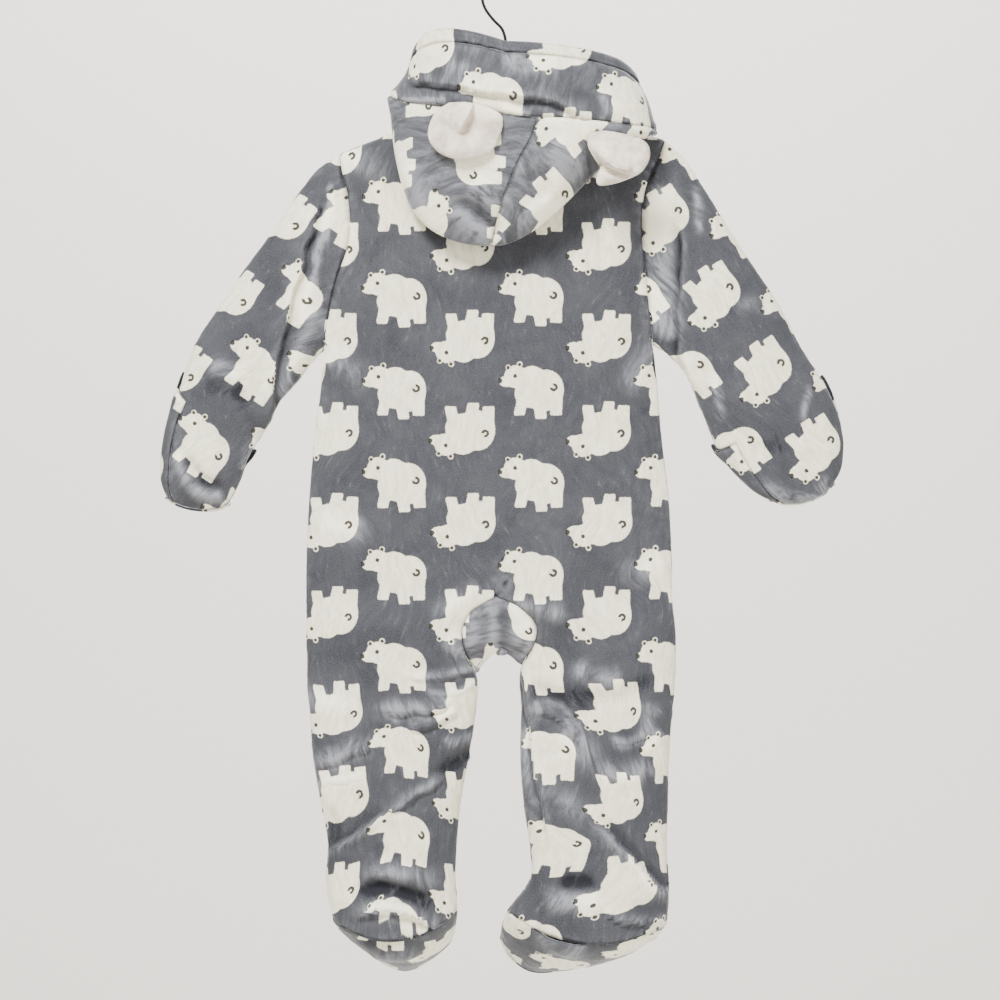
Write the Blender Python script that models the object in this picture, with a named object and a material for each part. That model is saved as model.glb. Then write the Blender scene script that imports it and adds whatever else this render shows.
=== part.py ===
"""Hooded, footed baby one-piece suit with mitten sleeves, hanging from a plain hanger, its back to the viewer.

Metres, +Z up. The origin is where the hook's crown rests on its peg. The suit's back faces -Y, and -X is the
viewer's left. Tables are in millimetres. Every cloth piece starts as a sheet of its outer face, made of rows of
points. Sheets that are sewn together share the points of their seam, the normals there are averaged, each edge is
drawn back by half the seam gap, and the wall is then laid inwards from the sheet.
"""
import math
from collections import namedtuple

import bmesh
import bpy
from mathutils import Vector
from mathutils.bvhtree import BVHTree

MM = 0.001
CLOTH_WALL = 2.4
TAPE_WALL = 1.0
SEAM_GAP = 0.3
# A border point moves along the seam's shared normal's way where that lies near the piece's own, and its move at a
# sharp corner is held back by the last of these.
FLAT_ENOUGH = 0.3
STEER_LIMIT = 0.5
CORNER_LIMIT = 0.35

# ------------------------------------------------------------------ torso and legs
HALF_COLUMNS = 7          # cells from the centre line, or a leg's inner seam, to the side seam
NECK_COLUMN = 2           # the column that carries the neck point, where the shoulder seam starts
NECK_POINT_Z = -136.1
SECTION_POWER = 2.3       # superellipse power of the torso and leg sections
ARMHOLE_ROWS = 8          # rows 0 to 8 end on the armhole
GUSSET_TOP_ROW = 13
GUSSET_TAIL_ROW = 17
VAMP_ROW = 21             # the fronts end here and the feet's uppers begin
HEEL_ROW = 23

# back, front: half depth of each layer; edge: half depth at the armhole; turn: how far the section has turned round
# the inner leg, 0 on the torso and 90 on a leg; cowl: depth at the neck; lift: share of the neck point's rise;
# scoop: how much lower the front neckline is; zip: half width of the gap over the zip; bow: sag of the row's middle.
Form = namedtuple("Form", "name back front edge turn cowl lift scoop zip bow")
FORMS = (
    Form("shoulder_seam", 0.0, 0.0, 0.0, 0, 16.0, 1.0, 18.0, 6.0, 0.0),
    Form("over_hanger", 5.0, 5.0, 4.6, 0, 16.0, 1.0, 17.0, 6.0, 0.0),
    Form("yoke", 7.9, 7.9, 7.4, 0, 14.5, 1.0, 16.0, 6.0, 0.0),
    Form("shoulder_blade", 11.5, 11.0, 10.0, 0, 7.0, 0.45, 5.0, 6.0, 0.0),
    Form("upper_back", 13.0, 12.0, 12.0, 0, 0.0, 0.15, 0.0, 6.0, 0.0),
    Form("mid_armhole", 14.0, 13.0, 12.0, 0, 0.0, 0.0, 0.0, 6.0, 0.0),
    Form("low_armhole", 15.0, 14.0, 10.0, 0, 0.0, 0.0, 0.0, 6.0, 0.0),
    Form("above_underarm", 15.5, 14.0, 5.0, 0, 0.0, 0.0, 0.0, 6.0, 0.0),
    Form("underarm", 15.5, 14.0, 0.0, 0, 0.0, 0.0, 0.0, 6.0, 0.0),
    Form("ribs", 16.0, 14.5, 0.0, 0, 0.0, 0.0, 0.0, 6.0, 0.0),
    Form("waist", 17.0, 15.0, 0.0, 0, 0.0, 0.0, 0.0, 6.0, 0.0),
    Form("upper_hip", 18.0, 15.0, 0.0, 0, 0.0, 0.0, 0.0, 6.0, 0.0),
    Form("seat", 19.0, 16.0, 0.0, 0, 0.0, 0.0, 0.0, 6.0, 0.0),
    Form("gusset_top", 20.0, 17.0, 0.0, 0, 0.0, 0.0, 0.0, 0.0, 0.0),
    Form("gusset_shoulder", 21.0, 18.0, 0.0, 24, 0.0, 0.0, 0.0, 0.0, 0.0),
    Form("gusset_wide", 21.0, 18.0, 0.0, 40, 0.0, 0.0, 0.0, 0.0, 0.0),
    Form("crotch", 21.5, 19.0, 0.0, 58, 0.0, 0.0, 0.0, 0.0, 0.0),
    Form("gusset_tail", 22.0, 20.0, 0.0, 90, 0.0, 0.0, 0.0, 0.0, 0.0),
    Form("thigh", 23.0, 21.0, 0.0, 90, 0.0, 0.0, 0.0, 0.0, 0.0),
    Form("knee", 23.0, 22.0, 0.0, 90, 0.0, 0.0, 0.0, 0.0, 0.0),
    Form("calf", 22.0, 22.0, 0.0, 90, 0.0, 0.0, 0.0, 0.0, 2.0),
    Form("shin", 22.0, 23.0, 0.0, 90, 0.0, 0.0, 0.0, 0.0, 4.0),
    Form("ankle", 24.0, 26.0, 0.0, 90, 0.0, 0.0, 0.0, 0.0, 9.0),
    Form("heel", 25.0, 30.0, 0.0, 90, 0.0, 0.0, 0.0, 0.0, 20.0),
)

# One row for each row of FORMS: the centre line or inner seam, and the armhole or side seam.
Outline = namedtuple("Outline", "inner_x inner_z outer_x outer_z")
LEFT_OUTLINE = tuple(Outline(*row) for row in (
    (-3.3, -136.1, -141.0, -168.1),
    (-3.3, -138.3, -141.0, -170.3),
    (-3.3, -143.5, -140.6, -175.5),
    (-3.3, -178.8, -134.5, -205.0),
    (-3.3, -219.8, -133.5, -240.3),
    (-3.3, -258.3, -144.0, -273.1),
    (-3.3, -289.5, -150.6, -299.3),
    (-3.3, -320.6, -153.6, -323.9),
    (-3.3, -327.2, -154.5, -330.5),
    (-3.3, -364.9, -158.3, -367.4),
    (-4.1, -402.6, -163.2, -404.3),
    (-4.9, -451.8, -167.3, -453.5),
    (-6.6, -499.4, -169.7, -502.7),
    (-13.1, -532.2, -169.7, -539.6),
    (-32.0, -543.5, -169.7, -556.0),
    (-40.2, -557.5, -169.7, -568.3),
    (-39.4, -576.5, -168.9, -584.7),
    (-29.5, -596.1, -168.9, -602.7),
    (-29.5, -627.3, -166.5, -631.4),
    (-34.4, -660.1, -164.0, -664.2),
    (-41.8, -701.9, -157.4, -704.4),
    (-45.1, -738.8, -151.5, -737.2),
    (-45.9, -766.7, -153.5, -766.7),
    (-44.3, -791.3, -148.4, -797.0),
))
RIGHT_OUTLINE = tuple(Outline(*row) for row in (
    (-3.3, -136.1, 125.5, -156.6),
    (-3.3, -138.3, 125.5, -158.8),
    (-3.3, -143.5, 123.8, -164.0),
    (-3.3, -178.8, 109.9, -196.8),
    (-3.3, -219.8, 106.6, -232.1),
    (-3.3, -258.3, 109.1, -266.5),
    (-3.3, -289.5, 112.3, -294.4),
    (-3.3, -320.6, 115.2, -319.0),
    (-3.3, -327.2, 116.0, -325.5),
    (-3.3, -364.9, 120.5, -364.9),
    (-4.1, -402.6, 123.8, -404.3),
    (-4.9, -451.8, 129.6, -453.5),
    (-6.6, -499.4, 132.0, -502.7),
    (-13.1, -532.2, 132.8, -539.6),
    (7.4, -541.5, 134.5, -554.3),
    (19.7, -555.1, 135.3, -569.9),
    (21.3, -570.7, 135.3, -586.3),
    (12.3, -590.4, 134.5, -605.2),
    (7.4, -625.7, 132.0, -631.4),
    (6.6, -660.1, 129.6, -664.2),
    (9.0, -701.9, 128.7, -704.4),
    (14.8, -742.1, 127.9, -740.5),
    (13.9, -766.7, 129.6, -771.6),
    (-4.1, -791.3, 127.9, -802.0),
))

# ------------------------------------------------------------------ crotch gusset
GUSSET_COLUMNS = 6
CROTCH_ARCH = 14.0        # how far the crotch fold rises between the two inner legs

# ------------------------------------------------------------------ feet
# The toe line is half an ellipse from one side of the ankle to the other: drop below the ankle's corners, reach
# forwards, and skew of the toe to one side.
Foot = namedtuple("Foot", "drop reach skew")
LEFT_FOOT = Foot(46.0, 48.0, 4.0)
RIGHT_FOOT = Foot(46.0, 48.0, -30.0)
SOLE_ROWS = 3
UPPER_ROWS = 3
SOLE_CROWN = 5.0
UPPER_CROWN = 9.0

# ------------------------------------------------------------------ sleeves and mitts
SLEEVE_COLUMNS = ARMHOLE_ROWS
SLEEVE_POWER = 2.2
WRIST_ROW = 6
STRIP_COLUMNS = 2         # cells of the back that the mitt's palm piece covers, so its edge shows
CUFF_LIP = 0.72           # where the mitt's loose edge lies between the row above the wrist and the wrist
CUFF_GAPE = 6.0
WRIST_GAPE = 3.0
LOOSE_EDGE_LIFT = 2.4     # how far forward of the side seam the loose edge's ends stand
STRIP_EASE = 0.05         # how far the strip's first corner keeps off the seam, as a share of the strip's width
STRIP_START = 0.13       # start of the mitt's strip, as a share of the first cell past the wrist

# blend: from the armhole's form to the sleeve's own oval; bow: bulge of the row towards the tip.
SleeveRow = namedtuple("SleeveRow", "top_x top_z under_x under_z back front blend bow")
LEFT_SLEEVE = tuple(SleeveRow(*row) for row in (
    (-155.8, -177.0, -159.1, -336.2, 14.0, 13.0, 0.35, 0.0),
    (-173.8, -198.0, -168.9, -347.7, 16.0, 15.0, 0.8, 0.0),
    (-194.3, -228.0, -179.6, -360.8, 18.0, 16.0, 1.0, 0.0),
    (-218.9, -261.6, -191.1, -373.9, 18.0, 17.0, 1.0, 0.0),
    (-241.9, -295.2, -198.4, -390.3, 18.0, 17.0, 1.0, 1.0),
    (-260.8, -325.5, -206.6, -402.6, 17.0, 17.0, 1.0, 2.0),
    (-273.1, -360.0, -214.0, -414.1, 16.0, 16.0, 1.0, 4.0),
    (-282.9, -384.6, -218.9, -425.6, 16.0, 15.0, 1.0, 6.0),
    (-288.6, -414.1, -223.0, -437.1, 14.0, 13.0, 1.0, 8.0),
    (-288.6, -438.0, -229.1, -449.1, 9.0, 8.5, 1.0, 9.0),
    (-284.0, -450.5, -234.5, -457.0, 0.0, 0.0, 1.0, 9.0),
))
RIGHT_SLEEVE = tuple(SleeveRow(*row) for row in (
    (137.8, -166.5, 121.4, -329.6, 14.0, 13.0, 0.35, 0.0),
    (155.8, -192.5, 131.2, -337.8, 16.0, 15.0, 0.8, 0.0),
    (176.3, -225.5, 141.9, -349.3, 18.0, 16.0, 1.0, 0.0),
    (198.4, -259.9, 148.4, -363.3, 18.0, 17.0, 1.0, 0.0),
    (219.8, -291.9, 154.2, -378.0, 18.0, 17.0, 1.0, 1.0),
    (238.6, -328.0, 160.7, -393.6, 17.0, 17.0, 1.0, 2.0),
    (258.3, -359.2, 168.1, -410.8, 16.0, 16.0, 1.0, 4.0),
    (269.8, -386.2, 177.0, -424.8, 16.0, 15.0, 1.0, 6.0),
    (273.1, -408.4, 188.5, -437.0, 14.0, 13.0, 1.0, 8.0),
    (269.5, -429.5, 203.5, -448.5, 9.0, 8.5, 1.0, 9.0),
    (262.0, -442.0, 215.5, -453.5, 0.0, 0.0, 1.0, 9.0),
))

# ------------------------------------------------------------------ hood
# Rings from the neck seam to the rim of the face opening. left, right: half widths; centre: shift of the middle at
# the back; y and z at the back, the sides and the front; round_left, round_right: how sharply the ring drops towards
# the middle of the back; fore: the same towards the front; tilt: rise of the back's left half over its right;
# cling: share of the true neckline's departure from its nominal ring that this ring keeps.
Ring = namedtuple("Ring", "name left right centre back_y side_y front_y back_z left_z right_z front_z "
                  "round_left round_right fore tilt cling")
NECK_RING = Ring("neck", 63.0, 52.6, -3.3, -16.0, 0.0, 16.0, -136.1, -136.1, -136.1, -154.1, 1, 1, 1.4, 0, 1.0)
HOOD_RINGS = (
    Ring("stand", 63.5, 54.0, -3.0, -17.0, 0.0, 16.5, -131.5, -131.0, -131.0, -149.0, 1, 1, 1.4, 0, 1.0),
    Ring("crest", 67.0, 57.0, -3.0, -20.5, -2.0, 17.0, -128.5, -128.0, -128.0, -145.0, 1, 1, 1.3, 0, 0.9),
    Ring("lap", 71.0, 62.0, -3.0, -24.5, -4.0, 17.5, -131.0, -130.0, -130.0, -141.0, 1, 1, 1.2, 0, 0.8),
    Ring("nape", 83.0, 84.0, -9.0, -26.0, -11.0, 18.0, -192.0, -137.0, -147.0, -137.0, 0.6, 1.8, 0.5, 0, 0.6),
    Ring("fold", 92.0, 108.0, -17.0, -38.0, -14.0, 18.5, -247.5, -142.0, -158.0, -134.0, 0.55, 2.6, 0.45, 0, 0.45),
    Ring("low", 97.0, 112.0, -11.0, -55.0, -15.0, 19.0, -222.0, -137.0, -155.5, -131.0, 0.55, 2.2, 0.45, 0, 0.3),
    Ring("belly", 100.0, 115.0, 2.0, -66.0, -16.0, 19.5, -188.0, -130.0, -153.5, -128.5, 0.6, 1.8, 0.45, 0, 0.2),
    Ring("brim_seam", 101.0, 116.0, 19.0, -74.0, -16.0, 20.0, -147.0, -122.0, -152.0, -126.0, 0.8, 5.0, 0.5, 2, 0.1),
    Ring("crease", 93.0, 112.0, 10.0, -76.0, -16.0, 20.5, -130.0, -113.0, -133.0, -123.0, 1, 1, 0.6, 4, 0.0),
    Ring("hem_line", 84.0, 106.0, -4.0, -71.0, -15.0, 21.0, -95.0, -102.0, -117.0, -120.0, 1, 1, 0.8, 6, 0.0),
    Ring("rim", 81.0, 102.0, -5.0, -67.0, -14.0, 21.0, -85.0, -92.0, -106.0, -117.0, 1, 1, 0.9, 7, 0.0),
)
SEAM_RING = 8             # index among the rows that start with the neck seam
HEM_RING = 10
FRONT_ANGLE = 174.0       # the hood's two ends meet the zip here, measured from the centre back
FRONT_STEPS = 2           # cells to each stretch of the neckline, in front and behind
BACK_STEPS = 3
BACK_ANGLE = 42.0         # angle of the neckline's middle stretch point, behind and in front
SIDE_ANGLE = 90.0

# ------------------------------------------------------------------ ears
# A flat oval, cut off by its base: middle of the base, half width, height, lean of the base, lean of the height.
Ear = namedtuple("Ear", "name base_x base_z half_width height base_lean sway thickness")
EARS = (
    Ear("ear_left", -33.0, -143.0, 28.0, 42.0, -0.16, -4.0, 9.0),
    Ear("ear_right", 83.0, -161.0, 27.0, 40.0, -0.22, 2.0, 9.0),
)
EAR_POINTS = 20
EAR_PROBES = (0.0, 0.25, 0.5, 0.75, 1.0)  # shares of the way to the base where the hood's face is looked up
# Shrunken copies of the ear's outline: share of the thickness there, and how far off the hood.
EarLevel = namedtuple("EarLevel", "scale depth off")
EAR_LEVELS = (EarLevel(1.0, 0.3, 0.9), EarLevel(0.86, 0.75, 2.1), EarLevel(0.55, 1.0, 3.2))

# ------------------------------------------------------------------ hanger
HANGER_THICKNESS = 8.0
HANGER_HEIGHT = 12.0
HANGER_END_LEFT = -131.0
HANGER_END_RIGHT = 116.0
HANGER_HUB_X = -5.0
HANGER_HUMP = 20.0         # rise of the bar at its hub, within the neck
HANGER_HUMP_HALF = 40.0
HANGER_CLEARANCE = 0.6
SLOPED_WALL = 1.08         # the shoulder's wall measured straight up, over its thickness
HANGER_TIP_SIZE = 0.45
HANGER_TAPER = 1.1
HANGER_STATIONS = 21
HANGER_SIDES = 12
WIRE_RADIUS = 1.3
WIRE_SIDES_RESOLUTION = 3
HOOK_RADIUS = 27.0
SHANK_DEPTH = 8.0
SHANK_CLEARANCE = 0.3
HOOK_START_ANGLE = 203.0
HOOK_END_ANGLE = -35.0
HOOK_STEPS = 18
# The wire's way from the bar up to the hook's circle, the last row being the circle's first point.
WirePoint = namedtuple("WirePoint", "x z")
SHANK_ROUTE = (WirePoint(-5.0, -95.0), WirePoint(-5.0, -77.0), WirePoint(-8.0, -66.0), WirePoint(-14.5, -59.0),
               WirePoint(-20.8, -51.0), WirePoint(-24.0, -43.5))
SHANK_STEPS = 4           # wire points to each stretch of that way

# ------------------------------------------------------------------ zip
TAPE_HALF_WIDTH = 14.0
TAPE_CLEARANCE = 0.8
SLIDER_WIDTH = 8.0
SLIDER_LENGTH = 11.0
SLIDER_HEIGHT = 4.0
SLIDER_EDGE = 0.9
SLIDER_DROP = 12.0        # middle of the slider below the front neckline
BRIDGE_WIDTH = 2.4
BRIDGE_LENGTH = 8.0
BRIDGE_HEIGHT = 3.2
BRIDGE_ROOT = 0.8         # how far the bridge reaches into the slider's body
BRIDGE_LEG = 1.4
BRIDGE_WINDOW = 2.0
PULL_WIDTH = 6.4
PULL_LENGTH = 25.0
PULL_THICKNESS = 1.2
PULL_SLOT_WIDTH = 3.6
PULL_SLOT_LENGTH = 4.2
PULL_BAR = 1.1
PULL_EDGE = 0.25


def colour(code):
    """Linear RGBA of an sRGB hex code."""
    channels = [int(code[i:i + 2], 16) / 255 for i in (1, 3, 5)]
    return [c / 12.92 if c <= 0.04045 else ((c + 0.055) / 1.055) ** 2.4 for c in channels] + [1.0]


def material(name, code, roughness, metallic=0.0):
    """A Principled material, made once for each name."""
    found = bpy.data.materials.get(name)
    if found:
        return found
    made = bpy.data.materials.new(name)
    made.use_nodes = True
    shader = made.node_tree.nodes["Principled BSDF"]
    shader.inputs["Base Color"].default_value = colour(code)
    shader.inputs["Roughness"].default_value = roughness
    shader.inputs["Metallic"].default_value = metallic
    return made


def plush():
    return material("grey_plush", "#74757C", 0.95)


def cream_plush():
    return material("cream_plush", "#E0DACF", 0.95)


def place(mesh_object, finish):
    """Link an object to the scene and give it its material."""
    bpy.context.scene.collection.objects.link(mesh_object)
    mesh_object.data.materials.append(finish)
    return mesh_object


def point(x, y, z):
    return Vector((x, y, z))


def key(p):
    """Points closer than a hundredth of a millimetre count as one."""
    return (round(p.x, 2), round(p.y, 2), round(p.z, 2))


class Sheet:
    """The outer face of one cloth piece."""

    def __init__(self, name, wall=CLOTH_WALL, finish=None):
        self.name = name
        self.wall = wall
        self.finish = finish or plush()
        self.points = []
        self.index = {}
        self.faces = []

    def add_point(self, p):
        number = self.index.setdefault(key(p), len(self.points))
        if number == len(self.points):
            self.points.append(p.copy())
        return number

    def add_grid(self, rows, facing, probe=None):
        """Add the cells between rows of points. facing is the way that the probe cell, or the middle one, looks."""
        cells = []
        for upper, lower in zip(rows, rows[1:]):
            for k in range(len(upper) - 1):
                cells.append((upper[k], upper[k + 1], lower[k + 1], lower[k]))
        across = len(rows[0]) - 1
        row, column = probe or ((len(rows) - 1) // 2, across // 2)
        a, b, c, d = cells[row * across + column]
        flip = (c - a).cross(d - b).dot(Vector(facing)) < 0
        for cell in cells:
            corners = []
            for p in cell:
                number = self.add_point(p)
                if number not in corners:
                    corners.append(number)
            if len(corners) > 2:
                self.faces.append(tuple(reversed(corners)) if flip else tuple(corners))
        return self

    def face_normal(self, face):
        total = Vector()
        first = self.points[face[0]]
        for a, b in zip(face[1:], face[2:]):
            total += (self.points[a] - first).cross(self.points[b] - first)
        return total

    def borders(self):
        """Edges with one face, in that face's order."""
        edges = {(a, b) for face in self.faces for a, b in zip(face, face[1:] + face[:1])}
        return [edge for edge in edges if (edge[1], edge[0]) not in edges]


def seam_normals(sheets):
    """Unit normals by place, averaged over all the sheets that meet there."""
    sums = {}
    for sheet in sheets:
        for face in sheet.faces:
            normal = sheet.face_normal(face).normalized()
            for number in face:
                place_key = key(sheet.points[number])
                sums[place_key] = sums.get(place_key, Vector()) + normal
    return {where: total.normalized() for where, total in sums.items()}


def drawn_back(sheet, normals):
    """The sheet's points, with those on its borders moved into the piece by half the seam gap."""
    face_of_edge = {edge: face for face in sheet.faces for edge in zip(face, face[1:] + face[:1])}
    inwards = {}
    for a, b in sorted(sheet.borders()):
        along = (sheet.points[b] - sheet.points[a]).normalized()
        own_way = sheet.face_normal(face_of_edge[(a, b)]).cross(along).normalized()
        for number in (a, b):
            shared_way = normals[key(sheet.points[number])].cross(along)
            usable = shared_way.length > FLAT_ENOUGH and shared_way.normalized().dot(own_way) > STEER_LIMIT
            inwards.setdefault(number, []).append(shared_way.normalized() if usable else own_way)
    moved = [p.copy() for p in sheet.points]
    for number, ways in inwards.items():
        middle = sum(ways, Vector())
        if middle.length < 1e-6:
            continue
        middle.normalize()
        spread = max(CORNER_LIMIT, min(middle.dot(way) for way in ways))
        moved[number] += middle * (SEAM_GAP / 2 / spread)
    return moved


def walled(sheet, normals):
    """Make the sheet a closed wall of cloth."""
    outer = drawn_back(sheet, normals)
    mesh = bmesh.new()
    outer_verts = [mesh.verts.new(p * MM) for p in outer]
    inner_verts = []
    for p, original in zip(outer, sheet.points):
        inner_verts.append(mesh.verts.new((p - normals[key(original)] * sheet.wall) * MM))
    for face in sheet.faces:
        mesh.faces.new([outer_verts[n] for n in face])
        mesh.faces.new([inner_verts[n] for n in reversed(face)])
    for a, b in sorted(sheet.borders()):
        # Both sheets of a seam split this wall along the same diagonal, so their twists match.
        if key(sheet.points[a]) < key(sheet.points[b]):
            mesh.faces.new((outer_verts[b], outer_verts[a], inner_verts[b]))
            mesh.faces.new((outer_verts[a], inner_verts[a], inner_verts[b]))
        else:
            mesh.faces.new((outer_verts[b], outer_verts[a], inner_verts[a]))
            mesh.faces.new((outer_verts[b], inner_verts[a], inner_verts[b]))
    data = bpy.data.meshes.new(sheet.name)
    mesh.to_mesh(data)
    mesh.free()
    data.shade_smooth()
    data.set_sharp_from_angle(angle=math.radians(50))
    return place(bpy.data.objects.new(sheet.name, data), sheet.finish)


# ------------------------------------------------------------------ body rows
def half_row(outline_rows, number, back, inner_shift=0.0):
    """Points of one row of a half, from the centre line or inner seam to the side seam, on the back or front."""
    form = FORMS[number]
    outline = outline_rows[number]
    side = 1 if outline.outer_x > outline.inner_x else -1
    turn = math.radians(form.turn)
    belly = form.back if back else form.front
    neck_share = math.sin(math.pi / 2 * NECK_COLUMN / HALF_COLUMNS)
    first = outline_rows[0]
    lift = NECK_POINT_Z - (first.inner_z + (first.outer_z - first.inner_z) * neck_share)
    row = []
    for k in range(HALF_COLUMNS + 1):
        phi = -turn + (math.pi / 2 + turn) * k / HALF_COLUMNS
        share = (math.sin(phi) + math.sin(turn)) / (1 + math.sin(turn))
        x = outline.inner_x + (outline.outer_x - outline.inner_x) * share
        z = outline.inner_z + (outline.outer_z - outline.inner_z) * share
        rise = share / neck_share if share < neck_share else (1 - share) / (1 - neck_share)
        z += lift * form.lift * rise
        within_neck = max(0.0, 1 - share / neck_share)
        x += side * inner_shift * within_neck
        if not back:
            z -= form.scoop * within_neck
        around = max(0.0, math.cos(phi))
        z -= form.bow * around ** 2 if back else 0.0
        oval = belly * around ** (2 / SECTION_POWER)
        edge = form.edge * max(0.0, math.sin(phi))
        cowl = form.cowl * math.sqrt(max(0.0, 1 - min(1.0, share / neck_share) ** 2))
        depth = math.sqrt(oval ** 2 + edge ** 2 + cowl ** 2)
        row.append(point(x, -depth if back else depth, z))
    return row


def half_rows(outline_rows, first, last, back):
    rows = []
    for number in range(first, last + 1):
        shift = 0.0 if back else FORMS[number].zip
        rows.append(half_row(outline_rows, number, back, shift))
    return rows


def back_panel():
    sheet = Sheet("back_panel")
    sheet.add_grid(half_rows(LEFT_OUTLINE, 0, HEEL_ROW, True), (0, -1, 0))
    sheet.add_grid(half_rows(RIGHT_OUTLINE, 0, HEEL_ROW, True), (0, -1, 0))
    return sheet


def front_panel(name, outline_rows):
    return Sheet(name).add_grid(half_rows(outline_rows, 0, VAMP_ROW, False), (0, 1, 0))


# ------------------------------------------------------------------ gusset
def gusset_rows(back):
    """Rows across the gusset from the left arch to the right arch, ending on the crotch fold."""
    rows = []
    for number in range(GUSSET_TOP_ROW, GUSSET_TAIL_ROW + 1):
        left = half_row(LEFT_OUTLINE, number, back)[0]
        right = half_row(RIGHT_OUTLINE, number, back)[0]
        fullness = (number - GUSSET_TOP_ROW) / (GUSSET_TAIL_ROW - GUSSET_TOP_ROW)
        row = []
        for k in range(GUSSET_COLUMNS + 1):
            share = k / GUSSET_COLUMNS
            p = left.lerp(right, share)
            p.z += CROTCH_ARCH * fullness ** 3 * math.sin(math.pi * share)
            row.append(p)
        rows.append(row)
    return rows


def gusset():
    sheet = Sheet("crotch_gusset")
    sheet.add_grid(gusset_rows(True), (0, -1, 0))
    sheet.add_grid(gusset_rows(False), (0, 1, 0))
    return sheet


# ------------------------------------------------------------------ feet
def toe_line(outline_rows, foot):
    """Half an ellipse from the inner to the outer corner of the ankle, round the toe."""
    outline = outline_rows[HEEL_ROW]
    middle_x = (outline.inner_x + outline.outer_x) / 2
    half_width = (outline.outer_x - outline.inner_x) / 2
    line = []
    for k in range(HALF_COLUMNS + 1):
        turn = math.pi * k / HALF_COLUMNS
        share = (1 - math.cos(turn)) / 2
        corner_z = outline.inner_z + (outline.outer_z - outline.inner_z) * share
        x = middle_x - half_width * math.cos(turn) + foot.skew * math.sin(turn)
        y = foot.reach * max(0.0, math.sin(turn)) ** 0.85
        line.append(point(x, y, corner_z - foot.drop * math.sin(turn)))
    return line


def between(first, last, steps, crown, away):
    """Rows from one line to another, bulging by the crown in the direction away."""
    rows = []
    for i in range(steps + 1):
        share = i / steps
        bulge = Vector(away).normalized() * crown * math.sin(math.pi * share)
        row = []
        for k, (a, b) in enumerate(zip(first, last)):
            round_off = math.sin(math.pi * k / (len(first) - 1))
            row.append(a.lerp(b, share) + bulge * round_off)
        rows.append(row)
    return rows


def sole(name, outline_rows, foot):
    heel = half_row(outline_rows, HEEL_ROW, True)
    rows = between(heel, toe_line(outline_rows, foot), SOLE_ROWS, SOLE_CROWN, (0, -0.4, -1))
    return Sheet(name).add_grid(rows, (0, -0.4, -1))


def foot_upper(name, outline_rows, foot):
    sheet = Sheet(name)
    instep = half_rows(outline_rows, VAMP_ROW, HEEL_ROW, False)
    sheet.add_grid(instep, (0, 1, 0))
    toe = between(instep[-1], toe_line(outline_rows, foot), UPPER_ROWS, UPPER_CROWN, (0, 1, 0.3))
    return sheet.add_grid(toe, (0, 1, 0))


# ------------------------------------------------------------------ sleeves
def armhole(outline_rows, back):
    return [half_row(outline_rows, number, back, 0.0 if back else FORMS[number].zip)[-1]
            for number in range(ARMHOLE_ROWS + 1)]


def sleeve_oval_share(k):
    return (1 + math.sin(-math.pi / 2 + math.pi * k / SLEEVE_COLUMNS)) / 2


def sleeve_point(row, seam, k, back, swell=0.0):
    """A point of a sleeve row. seam is the armhole, and swell moves the point out of the oval."""
    top = point(row.top_x, 0, row.top_z)
    under = point(row.under_x, 0, row.under_z)
    across = under - top
    length = (seam[-1] - seam[0]).length
    seam_share = (seam[k] - seam[0]).dot((seam[-1] - seam[0]).normalized()) / length
    share = seam_share + (sleeve_oval_share(k) - seam_share) * row.blend
    phi = -math.pi / 2 + math.pi * k / SLEEVE_COLUMNS
    around = max(0.0, math.cos(phi))
    oval = (row.back if back else row.front) * around ** (2 / SLEEVE_POWER)
    depth = abs(seam[k].y) + (oval - abs(seam[k].y)) * row.blend
    side = -1 if row.top_x < 0 else 1
    tipwards = Vector((side * -across.z, 0, side * across.x)).normalized()
    sign = -1 if back else 1
    p = top + across * share + tipwards * (row.bow * around)
    p.y = sign * depth
    outwards = across.normalized() * math.sin(phi) + Vector((0, sign * around, 0))
    return p + outwards * swell


def sleeve_row(row, seam, back, swells=None):
    swells = swells or [0.0] * (SLEEVE_COLUMNS + 1)
    return [sleeve_point(row, seam, k, back, swells[k]) for k in range(SLEEVE_COLUMNS + 1)]


def mixed(first, last, share):
    """A sleeve row between two others."""
    return SleeveRow(*(a + (b - a) * share for a, b in zip(first, last)))


def cut(rows, first, last):
    """Some columns of a grid."""
    return [row[first:last + 1] for row in rows]


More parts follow.
